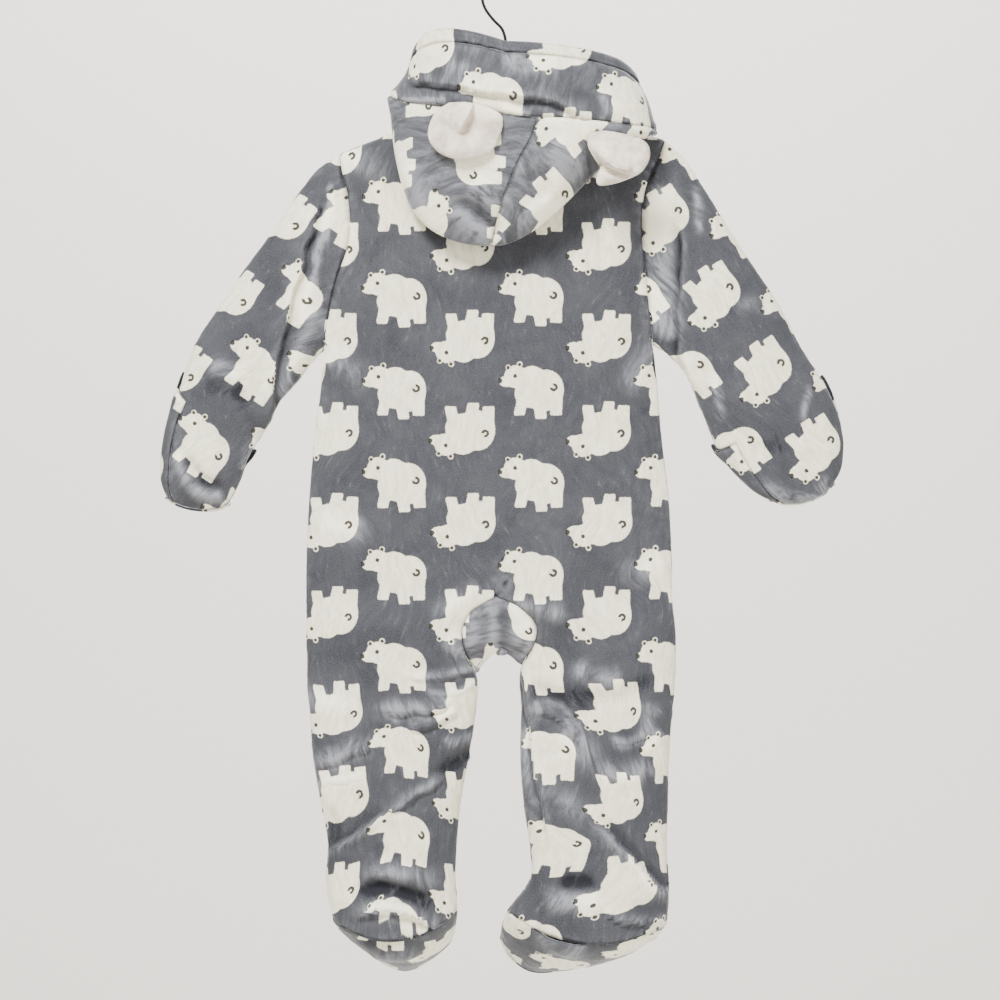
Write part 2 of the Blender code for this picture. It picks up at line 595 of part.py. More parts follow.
def sleeve_pieces(side, outline_rows, sleeve, strip_first):
    """Back, front and mitt. strip_first says whether the mitt's edge shows at the top edge or at the under edge."""
    back_seam = armhole(outline_rows, True)
    front_seam = armhole(outline_rows, False)
    back_rows = [back_seam] + [sleeve_row(row, back_seam, True) for row in sleeve]
    front_rows = [front_seam] + [sleeve_row(row, front_seam, False) for row in sleeve]
    wrist = WRIST_ROW + 1
    strip = (0, STRIP_COLUMNS) if strip_first else (SLEEVE_COLUMNS - STRIP_COLUMNS, SLEEVE_COLUMNS)
    kept = (STRIP_COLUMNS, SLEEVE_COLUMNS) if strip_first else (0, SLEEVE_COLUMNS - STRIP_COLUMNS)

    back = Sheet(f"sleeve_{side}_back")
    back.add_grid(back_rows[:wrist + 1], (0, -1, 0))
    back.add_grid(cut(back_rows[wrist:], *kept), (0, -1, 0))
    front = Sheet(f"sleeve_{side}_front").add_grid(front_rows[:wrist + 1], (0, 1, 0))

    around = [max(0.0, math.sin(math.pi * k / SLEEVE_COLUMNS)) for k in range(SLEEVE_COLUMNS + 1)]
    clear = CLOTH_WALL + 2 * SEAM_GAP  # how far the mitt's outer face stands off the sleeve's
    lip = mixed(sleeve[WRIST_ROW - 1], sleeve[WRIST_ROW], CUFF_LIP)
    start = mixed(sleeve[WRIST_ROW], sleeve[WRIST_ROW + 1], STRIP_START)
    lip_row = sleeve_row(lip, front_seam, False, [clear + CUFF_GAPE * a for a in around])
    wrist_row = sleeve_row(start, front_seam, False, [clear + WRIST_GAPE * a for a in around])
    free_edge = SLEEVE_COLUMNS if strip_first else 0
    for loose in (lip_row[0], lip_row[-1], wrist_row[free_edge]):
        loose.y += LOOSE_EDGE_LIFT
    palm = [lip_row, wrist_row] + front_rows[wrist + 1:]
    mitt = Sheet(f"mitt_{side}").add_grid(palm, (0, 1, 0))
    from_edge = [min(k, SLEEVE_COLUMNS - k) for k in range(SLEEVE_COLUMNS + 1)]
    edge_swell = [clear * max(0.0, 1 - cells / STRIP_COLUMNS) for cells in from_edge]
    strip_rows = [sleeve_row(start, back_seam, True, edge_swell)] + back_rows[wrist + 1:]
    inner, outer = (STRIP_COLUMNS, 0) if strip_first else (SLEEVE_COLUMNS - STRIP_COLUMNS, SLEEVE_COLUMNS)
    on_seam = back_rows[wrist][inner].lerp(back_rows[wrist + 1][inner], STRIP_START)
    strip_rows[0][inner] = on_seam.lerp(strip_rows[0][outer], STRIP_EASE)
    mitt.add_grid(cut(strip_rows, *strip), (0, -1, 0))
    return [back, front, mitt]


# ------------------------------------------------------------------ hood
def neck_line():
    """The neckline's points from the left of the zip round the back to its right, and the hood's angle at each."""
    front_left = half_row(LEFT_OUTLINE, 0, False, FORMS[0].zip)[:NECK_COLUMN]
    front_right = half_row(RIGHT_OUTLINE, 0, False, FORMS[0].zip)[:NECK_COLUMN]
    back_left = half_row(LEFT_OUTLINE, 0, True)[:NECK_COLUMN + 1]
    back_right = half_row(RIGHT_OUTLINE, 0, True)[:NECK_COLUMN + 1]
    corners = front_left + back_left[::-1] + back_right[1:] + front_right[::-1]
    stops = [-FRONT_ANGLE, BACK_ANGLE - 2 * SIDE_ANGLE, -SIDE_ANGLE, -BACK_ANGLE, 0.0]
    stops += [-angle for angle in stops[-2::-1]]
    points = [corners[0].copy()]
    angles = [stops[0]]
    for i, (a, b) in enumerate(zip(corners, corners[1:])):
        steps = FRONT_STEPS if max(abs(stops[i]), abs(stops[i + 1])) > SIDE_ANGLE else BACK_STEPS
        for step in range(1, steps + 1):
            points.append(a.lerp(b, step / steps))
            angles.append(stops[i] + (stops[i + 1] - stops[i]) * step / steps)
    for p in points:
        p.z += SEAM_GAP
    return points, angles


def ring_point(ring, angle):
    """A point of a hood ring, by its angle from the centre back, positive to the right."""
    theta = math.radians(angle)
    back = max(0.0, math.cos(theta))
    front = max(0.0, -math.cos(theta))
    half = ring.right if angle > 0 else ring.left
    side_z = ring.right_z if angle > 0 else ring.left_z
    x = ring.centre * back + half * math.sin(theta)
    y = ring.side_y + (ring.back_y - ring.side_y) * back ** 0.8 + (ring.front_y - ring.side_y) * front ** 0.7
    sharpness = ring.round_right if angle > 0 else ring.round_left
    z = side_z + (ring.back_z - side_z) * back ** sharpness + (ring.front_z - side_z) * front ** ring.fore
    if back > 0:
        z -= ring.tilt * math.sin(2 * theta)
    return point(x, y, z)


def hood_sheets():
    points, angles = neck_line()
    departures = [p - ring_point(NECK_RING, angle) for p, angle in zip(points, angles)]
    rows = [points]
    for ring in HOOD_RINGS:
        rows.append([ring_point(ring, angle) + departure * ring.cling for angle, departure in zip(angles, departures)])
    middle = angles.index(0.0)
    last = len(angles) - 1
    outer_cell = SEAM_RING - 2
    lower = rows[:SEAM_RING + 1]
    left = Sheet("hood_back_left").add_grid(cut(lower, 0, middle), (0, -1, 0), (outer_cell, middle - 2))
    right = Sheet("hood_back_right").add_grid(cut(lower, middle, last), (0, -1, 0), (outer_cell, 1))
    brim = Sheet("hood_brim").add_grid(rows[SEAM_RING:HEM_RING + 1], (0, -1, 0), (0, middle))
    hem = Sheet("hood_hem").add_grid(rows[HEM_RING:], (0, -1, 0), (0, middle))
    return [left, right, brim, hem]


# ------------------------------------------------------------------ ears
def surface_finder(sheets):
    """A function that gives the y of the rearmost face of the sheets at an x and z."""
    trees = [BVHTree.FromPolygons([p[:] for p in sheet.points], sheet.faces) for sheet in sheets]

    def find(x, z):
        start = Vector((x, -500.0, z))
        hits = [tree.ray_cast(start, Vector((0, 1, 0)))[0] for tree in trees]
        depths = [hit.y for hit in hits if hit is not None]
        return min(depths) if depths else None
    return find


def ear(form, find):
    """A padded oval that hangs from its base on the brim seam and lies on the hood."""
    outline = []
    for i in range(EAR_POINTS):
        turn = 2 * math.pi * i / EAR_POINTS
        across = math.cos(turn)
        down = max(-0.42, math.sin(turn)) + 0.42
        x = form.base_x + form.half_width * across + form.sway * down
        z = form.base_z + form.base_lean * form.half_width * across - form.height * down / 1.42
        outline.append((x, z))
    middle_x = sum(x for x, _ in outline) / EAR_POINTS
    middle_z = sum(z for _, z in outline) / EAR_POINTS
    mesh = bmesh.new()
    padded_side, hood_side = [], []
    for level in EAR_LEVELS:
        padded, flat = [], []
        for x, z in outline:
            px = middle_x + (x - middle_x) * level.scale
            pz = middle_z + (z - middle_z) * level.scale
            to_base = [(px + (form.base_x - px) * t, pz + (form.base_z - pz) * t) for t in EAR_PROBES]
            seat = min(y for y in (find(*spot) for spot in to_base) if y is not None) - level.off
            padded.append(mesh.verts.new(Vector((px, seat - form.thickness * level.depth, pz)) * MM))
            flat.append(mesh.verts.new(Vector((px, seat, pz)) * MM))
        padded_side.append(padded)
        hood_side.append(flat)
    loops = padded_side[::-1] + hood_side
    for upper, lower in zip(loops, loops[1:]):
        for i in range(EAR_POINTS):
            j = (i + 1) % EAR_POINTS
            mesh.faces.new((upper[i], upper[j], lower[j], lower[i]))
    mesh.faces.new(loops[0])
    mesh.faces.new(loops[-1])
    bmesh.ops.recalc_face_normals(mesh, faces=mesh.faces)
    data = bpy.data.meshes.new(form.name)
    mesh.to_mesh(data)
    mesh.free()
    data.shade_smooth()
    return place(bpy.data.objects.new(form.name, data), cream_plush())


# ------------------------------------------------------------------ hanger
def shoulder_line(x):
    """Height of the shoulder seam at x, on the side of the suit that x lies on."""
    rows = LEFT_OUTLINE if x < HANGER_HUB_X else RIGHT_OUTLINE
    seam = half_row(rows, 0, True)
    neck, tip = seam[NECK_COLUMN], seam[-1]
    return neck.z + (tip.z - neck.z) * (x - neck.x) / (tip.x - neck.x)


def hanger_top(x):
    """Top of the hanger's bar: it follows the shoulder's inside, and rises to its hub within the neck."""
    drop = CLOTH_WALL * SLOPED_WALL + HANGER_CLEARANCE
    off_hub = min(1.0, abs(x - HANGER_HUB_X) / HANGER_HUMP_HALF)
    hump = HANGER_HUMP * math.cos(math.pi / 2 * off_hub) ** 2
    return min(shoulder_line(x), NECK_POINT_Z) - drop + hump


def hanger_bar():
    mesh = bmesh.new()
    rings = []
    for i in range(HANGER_STATIONS):
        share = i / (HANGER_STATIONS - 1)
        x = HANGER_END_LEFT + (HANGER_END_RIGHT - HANGER_END_LEFT) * share
        size = min(1.0, HANGER_TIP_SIZE + HANGER_TAPER * math.sqrt(math.sin(math.pi * share)))
        half_y = HANGER_THICKNESS / 2 * size
        half_z = HANGER_HEIGHT / 2 * size
        straight = half_z - half_y
        middle_z = hanger_top(x) - HANGER_HEIGHT / 2
        ring = []
        for k in range(HANGER_SIDES):
            turn = 2 * math.pi * k / HANGER_SIDES + math.pi / HANGER_SIDES
            rise = straight if math.sin(turn) > 0 else -straight
            y = half_y * math.cos(turn)
            ring.append(mesh.verts.new(Vector((x, y, middle_z + rise + half_y * math.sin(turn))) * MM))
        rings.append(ring)
    for a, b in zip(rings, rings[1:]):
        for k in range(HANGER_SIDES):
            j = (k + 1) % HANGER_SIDES
            mesh.faces.new((a[k], a[j], b[j], b[k]))
    mesh.faces.new(rings[0])
    mesh.faces.new(rings[-1])
    bmesh.ops.recalc_face_normals(mesh, faces=mesh.faces)
    data = bpy.data.meshes.new("hanger_bar")
    mesh.to_mesh(data)
    mesh.free()
    bar = place(bpy.data.objects.new("hanger_bar", data), material("black_moulding", "#1B1B1D", 0.45))
    depth = SHANK_DEPTH + SHANK_CLEARANCE
    bpy.ops.mesh.primitive_cylinder_add(
        vertices=16, radius=(WIRE_RADIUS + SHANK_CLEARANCE) * MM, depth=2 * depth * MM,
        location=(HANGER_HUB_X * MM, 0, hanger_top(HANGER_HUB_X) * MM))
    bore = bpy.context.object
    bore.name = "shank_bore"
    bore.hide_render = True
    bore.display_type = "WIRE"
    hole = bar.modifiers.new("shank_bore", "BOOLEAN")
    hole.operation = "DIFFERENCE"
    hole.object = bore


def smooth_way(points, steps):
    """A Catmull-Rom curve through the points, with so many steps to each stretch."""
    padded = [points[0] * 2 - points[1]] + points + [points[-1] * 2 - points[-2]]
    way = []
    for before, a, b, after in zip(padded, padded[1:], padded[2:], padded[3:]):
        for step in range(steps):
            t = step / steps
            way.append(0.5 * (2 * a + (b - before) * t + (2 * before - 5 * a + 4 * b - after) * t ** 2
                              + (3 * a - before - 3 * b + after) * t ** 3))
    return way + [points[-1]]


def hanger_hook():
    """A wire from its bore in the bar, up and round the peg."""
    bottom = hanger_top(HANGER_HUB_X) - SHANK_DEPTH
    centre_z = WIRE_RADIUS - HOOK_RADIUS
    crook = []
    for i in range(HOOK_STEPS + 1):
        turn = math.radians(HOOK_START_ANGLE + (HOOK_END_ANGLE - HOOK_START_ANGLE) * i / HOOK_STEPS)
        crook.append(point(HOOK_RADIUS * math.cos(turn), 0, centre_z + HOOK_RADIUS * math.sin(turn)))
    shank = [point(HANGER_HUB_X, 0, bottom)] + [point(p.x, 0, p.z) for p in SHANK_ROUTE]
    route = smooth_way(shank + crook[:2], SHANK_STEPS)[:-1] + crook[1:]
    curve = bpy.data.curves.new("hanger_hook", "CURVE")
    curve.dimensions = "3D"
    curve.bevel_depth = WIRE_RADIUS * MM
    curve.bevel_resolution = WIRE_SIDES_RESOLUTION
    curve.use_fill_caps = True
    spline = curve.splines.new("POLY")
    spline.points.add(len(route) - 1)
    for spot, p in zip(spline.points, route):
        spot.co = (*(p * MM), 1.0)
    place(bpy.data.objects.new("hanger_hook", curve), material("black_wire", "#121213", 0.35, 0.6))


# ------------------------------------------------------------------ zip
def zip_rows():
    """Centre x, surface y and z of the front's edges, row by row."""
    rows = []
    for number in range(GUSSET_TOP_ROW):
        left = half_row(LEFT_OUTLINE, number, False, FORMS[number].zip)[0]
        right = half_row(RIGHT_OUTLINE, number, False, FORMS[number].zip)[0]
        rows.append((left + right) / 2)
    return rows


def zip_tape(name, outline_rows):
    """A tape from the closed zip's middle to its edge under the front, made from the front's points moved in."""
    below = point(0, CLOTH_WALL + TAPE_CLEARANCE, 0)
    rows = []
    for number, middle in enumerate(zip_rows()):
        edge, next_point = half_row(outline_rows, number, False, FORMS[number].zip)[:2]
        share = (TAPE_HALF_WIDTH - FORMS[number].zip) / abs(next_point.x - edge.x)
        rows.append([point(middle.x, edge.y, edge.z) - below, edge - below, edge.lerp(next_point, share) - below])
    sheet = Sheet(name, TAPE_WALL, material("zip_tape", "#6C6E76", 0.85))
    return sheet.add_grid(rows, (0, 1, 0))


def box_mesh(name, size, centre, edge):
    """A box with rounded edges, by size and centre in millimetres."""
    mesh = bmesh.new()
    bmesh.ops.create_cube(mesh, size=1.0)
    for vert in mesh.verts:
        vert.co = Vector(c * s for c, s in zip(vert.co, size)) * MM + Vector(centre) * MM
    if edge:
        bmesh.ops.bevel(mesh, geom=list(mesh.edges), offset=edge * MM, segments=2, affect="EDGES")
    data = bpy.data.meshes.new(name)
    mesh.to_mesh(data)
    mesh.free()
    return bpy.data.objects.new(name, data)


def cutter(name, size, centre):
    tool = box_mesh(name, size, centre, 0.0)
    tool.hide_render = True
    tool.display_type = "WIRE"
    bpy.context.scene.collection.objects.link(tool)
    return tool


def combine(target, tool, operation):
    step = target.modifiers.new(tool.name, "BOOLEAN")
    step.operation = operation
    step.object = tool


def slider_seat():
    """Middle of the slider on the tape's face: x, y and z in millimetres."""
    rows = zip_rows()
    z = rows[0].z - SLIDER_DROP
    upper, lower = next((a, b) for a, b in zip(rows, rows[1:]) if b.z <= z)
    p = upper.lerp(lower, (upper.z - z) / (upper.z - lower.z))
    return point(p.x, max(upper.y, p.y) - CLOTH_WALL - SEAM_GAP, z)


def zip_slider():
    seat = slider_seat()
    metal = material("slider_metal", "#8E9094", 0.35, 0.9)
    body_y = seat.y + SLIDER_HEIGHT / 2
    slider = place(box_mesh("zip_slider", (SLIDER_WIDTH, SLIDER_HEIGHT, SLIDER_LENGTH),
                            (seat.x, body_y, seat.z), SLIDER_EDGE), metal)
    top = seat.y + SLIDER_HEIGHT
    bridge_size = (BRIDGE_WIDTH, BRIDGE_HEIGHT + BRIDGE_ROOT, BRIDGE_LENGTH)
    bridge = cutter("bridge", bridge_size, (seat.x, top + (BRIDGE_HEIGHT - BRIDGE_ROOT) / 2, seat.z))
    window_size = (BRIDGE_WIDTH * 2, BRIDGE_WINDOW, BRIDGE_LENGTH - 2 * BRIDGE_LEG)
    window = cutter("bridge_window", window_size, (seat.x, top + BRIDGE_WINDOW / 2, seat.z))
    combine(slider, bridge, "UNION")
    combine(slider, window, "DIFFERENCE")


def pull_axis():
    """The pull's crossbar, resting on the lower leg of the slider's bridge."""
    seat = slider_seat()
    low = seat.z - BRIDGE_LENGTH / 2 + BRIDGE_LEG
    return point(seat.x, seat.y + SLIDER_HEIGHT + BRIDGE_WINDOW / 2, low + PULL_BAR / 2 + SEAM_GAP)


def zip_pull():
    axis = pull_axis()
    top = PULL_BAR / 2
    pull = box_mesh("zip_pull", (PULL_WIDTH, PULL_THICKNESS, PULL_LENGTH + top),
                    (0, 0, (top - PULL_LENGTH) / 2), PULL_EDGE)
    pull.location = axis * MM
    place(pull, material("pull_metal", "#8E9094", 0.3, 0.9))
    middle = axis + point(0, 0, -PULL_BAR / 2 - PULL_SLOT_LENGTH / 2)
    slot = cutter("pull_slot", (PULL_SLOT_WIDTH, PULL_THICKNESS * 3, PULL_SLOT_LENGTH), middle)
    combine(pull, slot, "DIFFERENCE")


def main():
    for old in list(bpy.data.objects):
        bpy.data.objects.remove(old)
    body = [back_panel(), front_panel("front_left", LEFT_OUTLINE), front_panel("front_right", RIGHT_OUTLINE), gusset()]
    body += sleeve_pieces("left", LEFT_OUTLINE, LEFT_SLEEVE, True)
    body += sleeve_pieces("right", RIGHT_OUTLINE, RIGHT_SLEEVE, False)
    for side, outline_rows, foot in (("left", LEFT_OUTLINE, LEFT_FOOT), ("right", RIGHT_OUTLINE, RIGHT_FOOT)):
        body.append(sole(f"sole_{side}", outline_rows, foot))
        body.append(foot_upper(f"foot_upper_{side}", outline_rows, foot))
    hood = hood_sheets()
    tapes = [zip_tape("zip_tape_left", LEFT_OUTLINE), zip_tape("zip_tape_right", RIGHT_OUTLINE)]
    for sewn in (body, hood, tapes):
        normals = seam_normals(sewn)
        for sheet in sewn:
            walled(sheet, normals)
    find = surface_finder(hood)
    for form in EARS:
        ear(form, find)
    hanger_bar()
    hanger_hook()
    zip_slider()
    zip_pull()


main()
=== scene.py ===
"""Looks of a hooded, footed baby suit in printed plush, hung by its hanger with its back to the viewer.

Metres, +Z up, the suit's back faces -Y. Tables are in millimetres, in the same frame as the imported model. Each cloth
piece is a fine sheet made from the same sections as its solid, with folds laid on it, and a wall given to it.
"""
import logging
import math
from collections.abc import Iterable, Sequence
from dataclasses import dataclass, field
from enum import Enum

import bmesh
import bpy
import numpy as np
from mathutils import Euler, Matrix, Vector
from mathutils.bvhtree import BVHTree
from mathutils.kdtree import KDTree
from mathutils.noise import noise

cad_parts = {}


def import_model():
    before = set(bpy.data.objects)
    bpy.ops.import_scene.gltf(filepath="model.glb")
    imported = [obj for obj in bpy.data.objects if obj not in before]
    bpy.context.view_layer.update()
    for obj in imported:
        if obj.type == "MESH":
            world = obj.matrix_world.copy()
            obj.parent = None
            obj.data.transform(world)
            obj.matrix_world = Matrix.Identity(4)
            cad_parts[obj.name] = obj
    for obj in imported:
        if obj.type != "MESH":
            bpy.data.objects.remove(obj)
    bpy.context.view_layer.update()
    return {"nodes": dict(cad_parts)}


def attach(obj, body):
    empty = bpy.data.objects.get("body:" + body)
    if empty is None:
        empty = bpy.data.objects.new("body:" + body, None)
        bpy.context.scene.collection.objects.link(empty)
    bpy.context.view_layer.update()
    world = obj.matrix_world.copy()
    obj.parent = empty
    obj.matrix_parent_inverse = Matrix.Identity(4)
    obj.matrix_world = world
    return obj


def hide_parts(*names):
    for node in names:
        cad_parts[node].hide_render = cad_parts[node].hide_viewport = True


LOG = logging.getLogger("baby_suit")
MM = 0.001
CLOTH_WALL = 2.4
SUIT = "suit"
PRINT_MAP = "print"
# The cloth's nap value: brushed pile tone plus painted highlight and shade of folds and seams.
NAP_AND_PAINTED_LIGHT = "nap"
PLUSH_SLOT = "grey_plush"


# ------------------------------------------------------------------ small tools
def linear(code: str) -> tuple[float, float, float, float]:
    """Turn an sRGB hex colour to linear.

    Args:
        code: the colour, as #RRGGBB.

    Returns:
        Linear red, green, blue and an alpha of 1.
    """
    parts = [int(code[i:i + 2], 16) / 255 for i in (1, 3, 5)]
    red, green, blue = (c / 12.92 if c <= 0.04045 else ((c + 0.055) / 1.055) ** 2.4 for c in parts)
    return red, green, blue, 1.0


def add_node(tree: bpy.types.NodeTree, kind: str, settings: dict | None = None,
             links: dict | None = None) -> bpy.types.Node:
    """Add a node with its settings and links.

    Args:
        tree: where it goes.
        kind: the node's type.
        settings: properties by name, and input values by number or input name.
        links: source sockets by input number or name.

    Returns:
        The node.
    """
    node = tree.nodes.new(kind)
    for name, value in (settings or {}).items():
        if isinstance(name, str) and name in node.bl_rna.properties:
            setattr(node, name, value)
        else:
            node.inputs[name].default_value = value
    for name, source in (links or {}).items():
        tree.links.new(source, node.inputs[name])
    return node


def ramp_up(low: float, high: float, values: np.ndarray) -> np.ndarray:
    """A smooth step of the values, from 0 at low to 1 at high."""
    share = np.clip((values - low) / (high - low), 0.0, 1.0)
    return share * share * (3 - 2 * share)


def smooth_way(points: np.ndarray, steps: int) -> np.ndarray:
    """A smooth curve through points.

    Args:
        points: the points, one a row.
        steps: how many steps each stretch gets.

    Returns:
        The curve's points.
    """
    if len(points) < 3:
        return points
    padded = np.concatenate([[2 * points[0] - points[1]], points, [2 * points[-1] - points[-2]]])
    way = []
    for before, a, b, after in zip(padded, padded[1:], padded[2:], padded[3:]):
        for t in np.arange(steps) / steps:
            way.append(0.5 * (2 * a + (b - before) * t + (2 * before - 5 * a + 4 * b - after) * t ** 2
                              + (3 * a - before - 3 * b + after) * t ** 3))
    return np.array(way + [points[-1]])


def loft(rows: np.ndarray, places: np.ndarray, counts: Sequence[int]) -> np.ndarray:
    """Lay smooth rows between rows of points.

    Args:
        rows: points by row and column.
        places: where each row stands along the loft.
        counts: how many fine rows each stretch gets.

    Returns:
        The fine rows, which pass through the given ones.
    """
    slopes = np.gradient(rows, places, axis=0)
    fine = []
    for i, count in enumerate(counts):
        gap = places[i + 1] - places[i]
        t = (np.arange(count) / count)[:, None, None]
        fine.append((2 * t ** 3 - 3 * t ** 2 + 1) * rows[i] + (t ** 3 - 2 * t ** 2 + t) * gap * slopes[i]
                    + (3 * t ** 2 - 2 * t ** 3) * rows[i + 1] + (t ** 3 - t ** 2) * gap * slopes[i + 1])
    return np.concatenate(fine + [rows[-1:]])


def fine_rows(marks: Sequence[float], counts: Sequence[int]) -> np.ndarray:
    """The marks of the given rows, spread evenly over the fine rows of each stretch."""
    parts = [a + (b - a) * np.arange(n) / n for a, b, n in zip(marks, marks[1:], counts)]
    return np.concatenate(parts + [[marks[-1]]])


def run_along(points: np.ndarray) -> np.ndarray:
    """The length of a way from its start to each of its points."""
    return np.concatenate([[0.0], np.cumsum(np.linalg.norm(np.diff(points, axis=0), axis=1))])


def noise_at(points: np.ndarray, size: float, shift: tuple[float, float, float] = (0.0, 0.0, 0.0)) -> np.ndarray:
    """Smooth noise of a given size in millimetres at each point, read at a shifted place."""
    return np.array([noise(Vector(p) / size + Vector(shift)) for p in points.tolist()])


def link_object(name: str, data: bpy.types.ID) -> bpy.types.Object:
    """Put a new object into the scene.

    Args:
        name: its name.
        data: its mesh, light or camera.

    Returns:
        The object.
    """
    made = bpy.data.objects.new(name, data)
    bpy.context.scene.collection.objects.link(made)
    return made


def mesh_object(name: str, places: np.ndarray, faces: list, finishes: Sequence[bpy.types.Material]) -> bpy.types.Object:
    """Make an object from points and faces.

    Args:
        name: its name.
        places: its points, in metres.
        faces: point numbers of each face.
        finishes: its materials, slot by slot.

    Returns:
        The object.
    """
    mesh = bpy.data.meshes.new(name)
    mesh.from_pydata(places.tolist(), [], faces)
    for finish in finishes:
        mesh.materials.append(finish)
    return link_object(name, mesh)


# ------------------------------------------------------------------ folds
WAY_STEPS = 6              # fine steps between two points of a fold's way
WANDER_SIZE = 17.0         # how soon a fold's way wanders, in millimetres
WANDER_APART = 5.0         # keeps the wander along X apart from that along Z
SLOW_SWAY, QUICK_SWAY = 1.6, 0.45
QUICK_SHARE = 0.35         # size of the quick sway over that of the slow one
RISE_PAINTED_HIGHLIGHT, SINK_PAINTED_SHADE = 0.035, 0.05   # painted highlight per millimetre of rise, and painted shade per millimetre of sinking
# How dark the painted shadow in a lap's covered side is.
LAP_PAINTED_SHADOW = 0.2
WAVER_SIZE = 55.0          # how soon the print wavers
WAVER_APART = 9.0


def fold_way(way: tuple[float, ...]) -> np.ndarray:
    """The smooth way of a fold, from the X and Z of its points in turn."""
    return smooth_way(np.reshape(way, (-1, 2)), WAY_STEPS)


def nearest_on(way: np.ndarray, spots: np.ndarray) -> tuple[np.ndarray, np.ndarray, np.ndarray]:
    """Measure points from a way.

    Args:
        way: its points.
        spots: X and Z of each point.

    Returns:
        The vector from the way, the side (1 left, -1 right) and the share of the way, for each point.
    """
    best, side = np.full(len(spots), 1e9), np.ones(len(spots))
    away, along = np.zeros((len(spots), 2)), np.zeros(len(spots))
    lengths = np.linalg.norm(np.diff(way, axis=0), axis=1)
    starts = run_along(way)
    for a, b, length, start in zip(way, way[1:], lengths, starts):
        rel = spots - a
        t = np.clip(rel @ (b - a) / length ** 2, 0, 1)
        off = rel - t[:, None] * (b - a)
        distance = np.hypot(off[:, 0], off[:, 1])
        closer = distance < best
        best = np.where(closer, distance, best)
        away = np.where(closer[:, None], off, away)
        side = np.where(closer, np.sign((b - a)[0] * rel[:, 1] - (b - a)[1] * rel[:, 0]), side)
        along = np.where(closer, (start + t * length) / starts[-1], along)
    return away, side, along


@dataclass(frozen=True)
class Crease:
    """One fold: its way by X and Z, its width, and how far it rises (or sinks, below 0).

    lap is 0 for a soft fold. Above 0 the cloth on the left of the way rolls over that on the right, and below 0 the
    other way round, and its size says how deep the covered side sinks and how dark the painted shadow there is. nap
    is how much lighter the cloth is along the fold: brushed pile with a painted highlight.
    fade_in and fade_out are the shares of the way over which it starts and ends. edge is how sharp the lap is.
    """

    way: tuple[float, ...]
    width: float
    height: float
    lap: float = 0.0
    nap: float = 0.0
    fade_in: float = 0.3
    fade_out: float = 0.3
    edge: float = 2.0

    def lay(self, spots: np.ndarray) -> tuple[np.ndarray, np.ndarray]:
        """How the fold moves the cloth, brushes its pile and paints highlight and shadow on it.

        Args:
            spots: X and Z of each point.

        Returns:
            The rise and the lightening of each point; the lightening holds painted highlight and painted shadow.
        """
        way = fold_way(self.way)
        rise, light = np.zeros(len(spots)), np.zeros(len(spots))
        reach = 3 * self.width
        near = np.all((spots > way.min(0) - reach) & (spots < way.max(0) + reach), axis=1)
        if not near.any():
            return rise, light
        here = spots[near]
        away, side, along = nearest_on(way, here)
        best = np.hypot(away[:, 0], away[:, 1])
        taper = np.ones(len(here))
        for fade, run in ((self.fade_in, along), (self.fade_out, 1 - along)):
            if fade:
                taper *= ramp_up(0, fade, run)
        soft = np.exp(-(best / self.width) ** 2)
        shape, lap_shadow = soft, np.zeros(len(here))
        if self.lap:
            depth = abs(self.lap)
            covered = ((1 + depth) * np.exp(-(best / self.edge) ** 2)
                       - depth * np.exp(-(best / (0.75 * self.width)) ** 2))
            hidden = side * np.sign(self.lap) < 0
            shape = np.where(hidden, covered, soft)
            # Painted shadow in a lap's covered side, just beyond the edge that shades it.
            lap_shadow = np.exp(-((best - self.edge) / self.edge) ** 2) * hidden
        rise[near] = self.height * shape * taper
        # Lighter along the fold from brushed pile and a painted highlight, less the painted lap shadow.
        light[near] = (self.nap * soft - LAP_PAINTED_SHADOW * abs(self.lap) * lap_shadow) * taper
        return rise, light


def creases(*rows: tuple) -> tuple[Crease, ...]:
    """Folds from rows in the order of Crease's fields."""
    return tuple(Crease(*row) for row in rows)


@dataclass(frozen=True)
class Drape:
    """The folds of a region, and the slow unevenness of soft cloth."""

    creases: tuple[Crease, ...] = ()
    sway: float = 0.5
    sway_length: float = 46.0
    strength: float = 2.3
    nap: float = 0.0
    wander: float = 3.0

    def lay(self, points: np.ndarray) -> tuple[np.ndarray, np.ndarray]:
        """Sum the folds.

        Args:
            points: places in millimetres.

        Returns:
            The rise and the lightening of each point; the lightening holds painted highlight on risen cloth and painted
            shade on sunk cloth.
        """
        spots = points[:, [0, 2]].copy()
        for axis in (0, 1):
            spots[:, axis] += self.wander * noise_at(points, WANDER_SIZE, (0, 0, WANDER_APART * axis))
        rise, light = np.zeros(len(spots)), np.zeros(len(spots))
        for crease in self.creases:
            more, lighter = crease.lay(spots)
            rise += more
            light += lighter
        slow, quick = noise_at(points, self.sway_length), noise_at(points, QUICK_SHARE * self.sway_length)
        rise = self.strength * rise + self.sway * (SLOW_SWAY * slow + QUICK_SWAY * quick)
        # Risen cloth gets a painted highlight and sunk cloth a painted shade.
        return rise, light + self.nap + np.where(rise > 0, RISE_PAINTED_HIGHLIGHT, SINK_PAINTED_SHADE) * rise


@dataclass(frozen=True)
class Slip:
    """A place where cloth taken up by folds moves the print: its X and Z, its reach, and the move."""

    place: tuple[float, float]
    reach: float
    move: tuple[float, float]


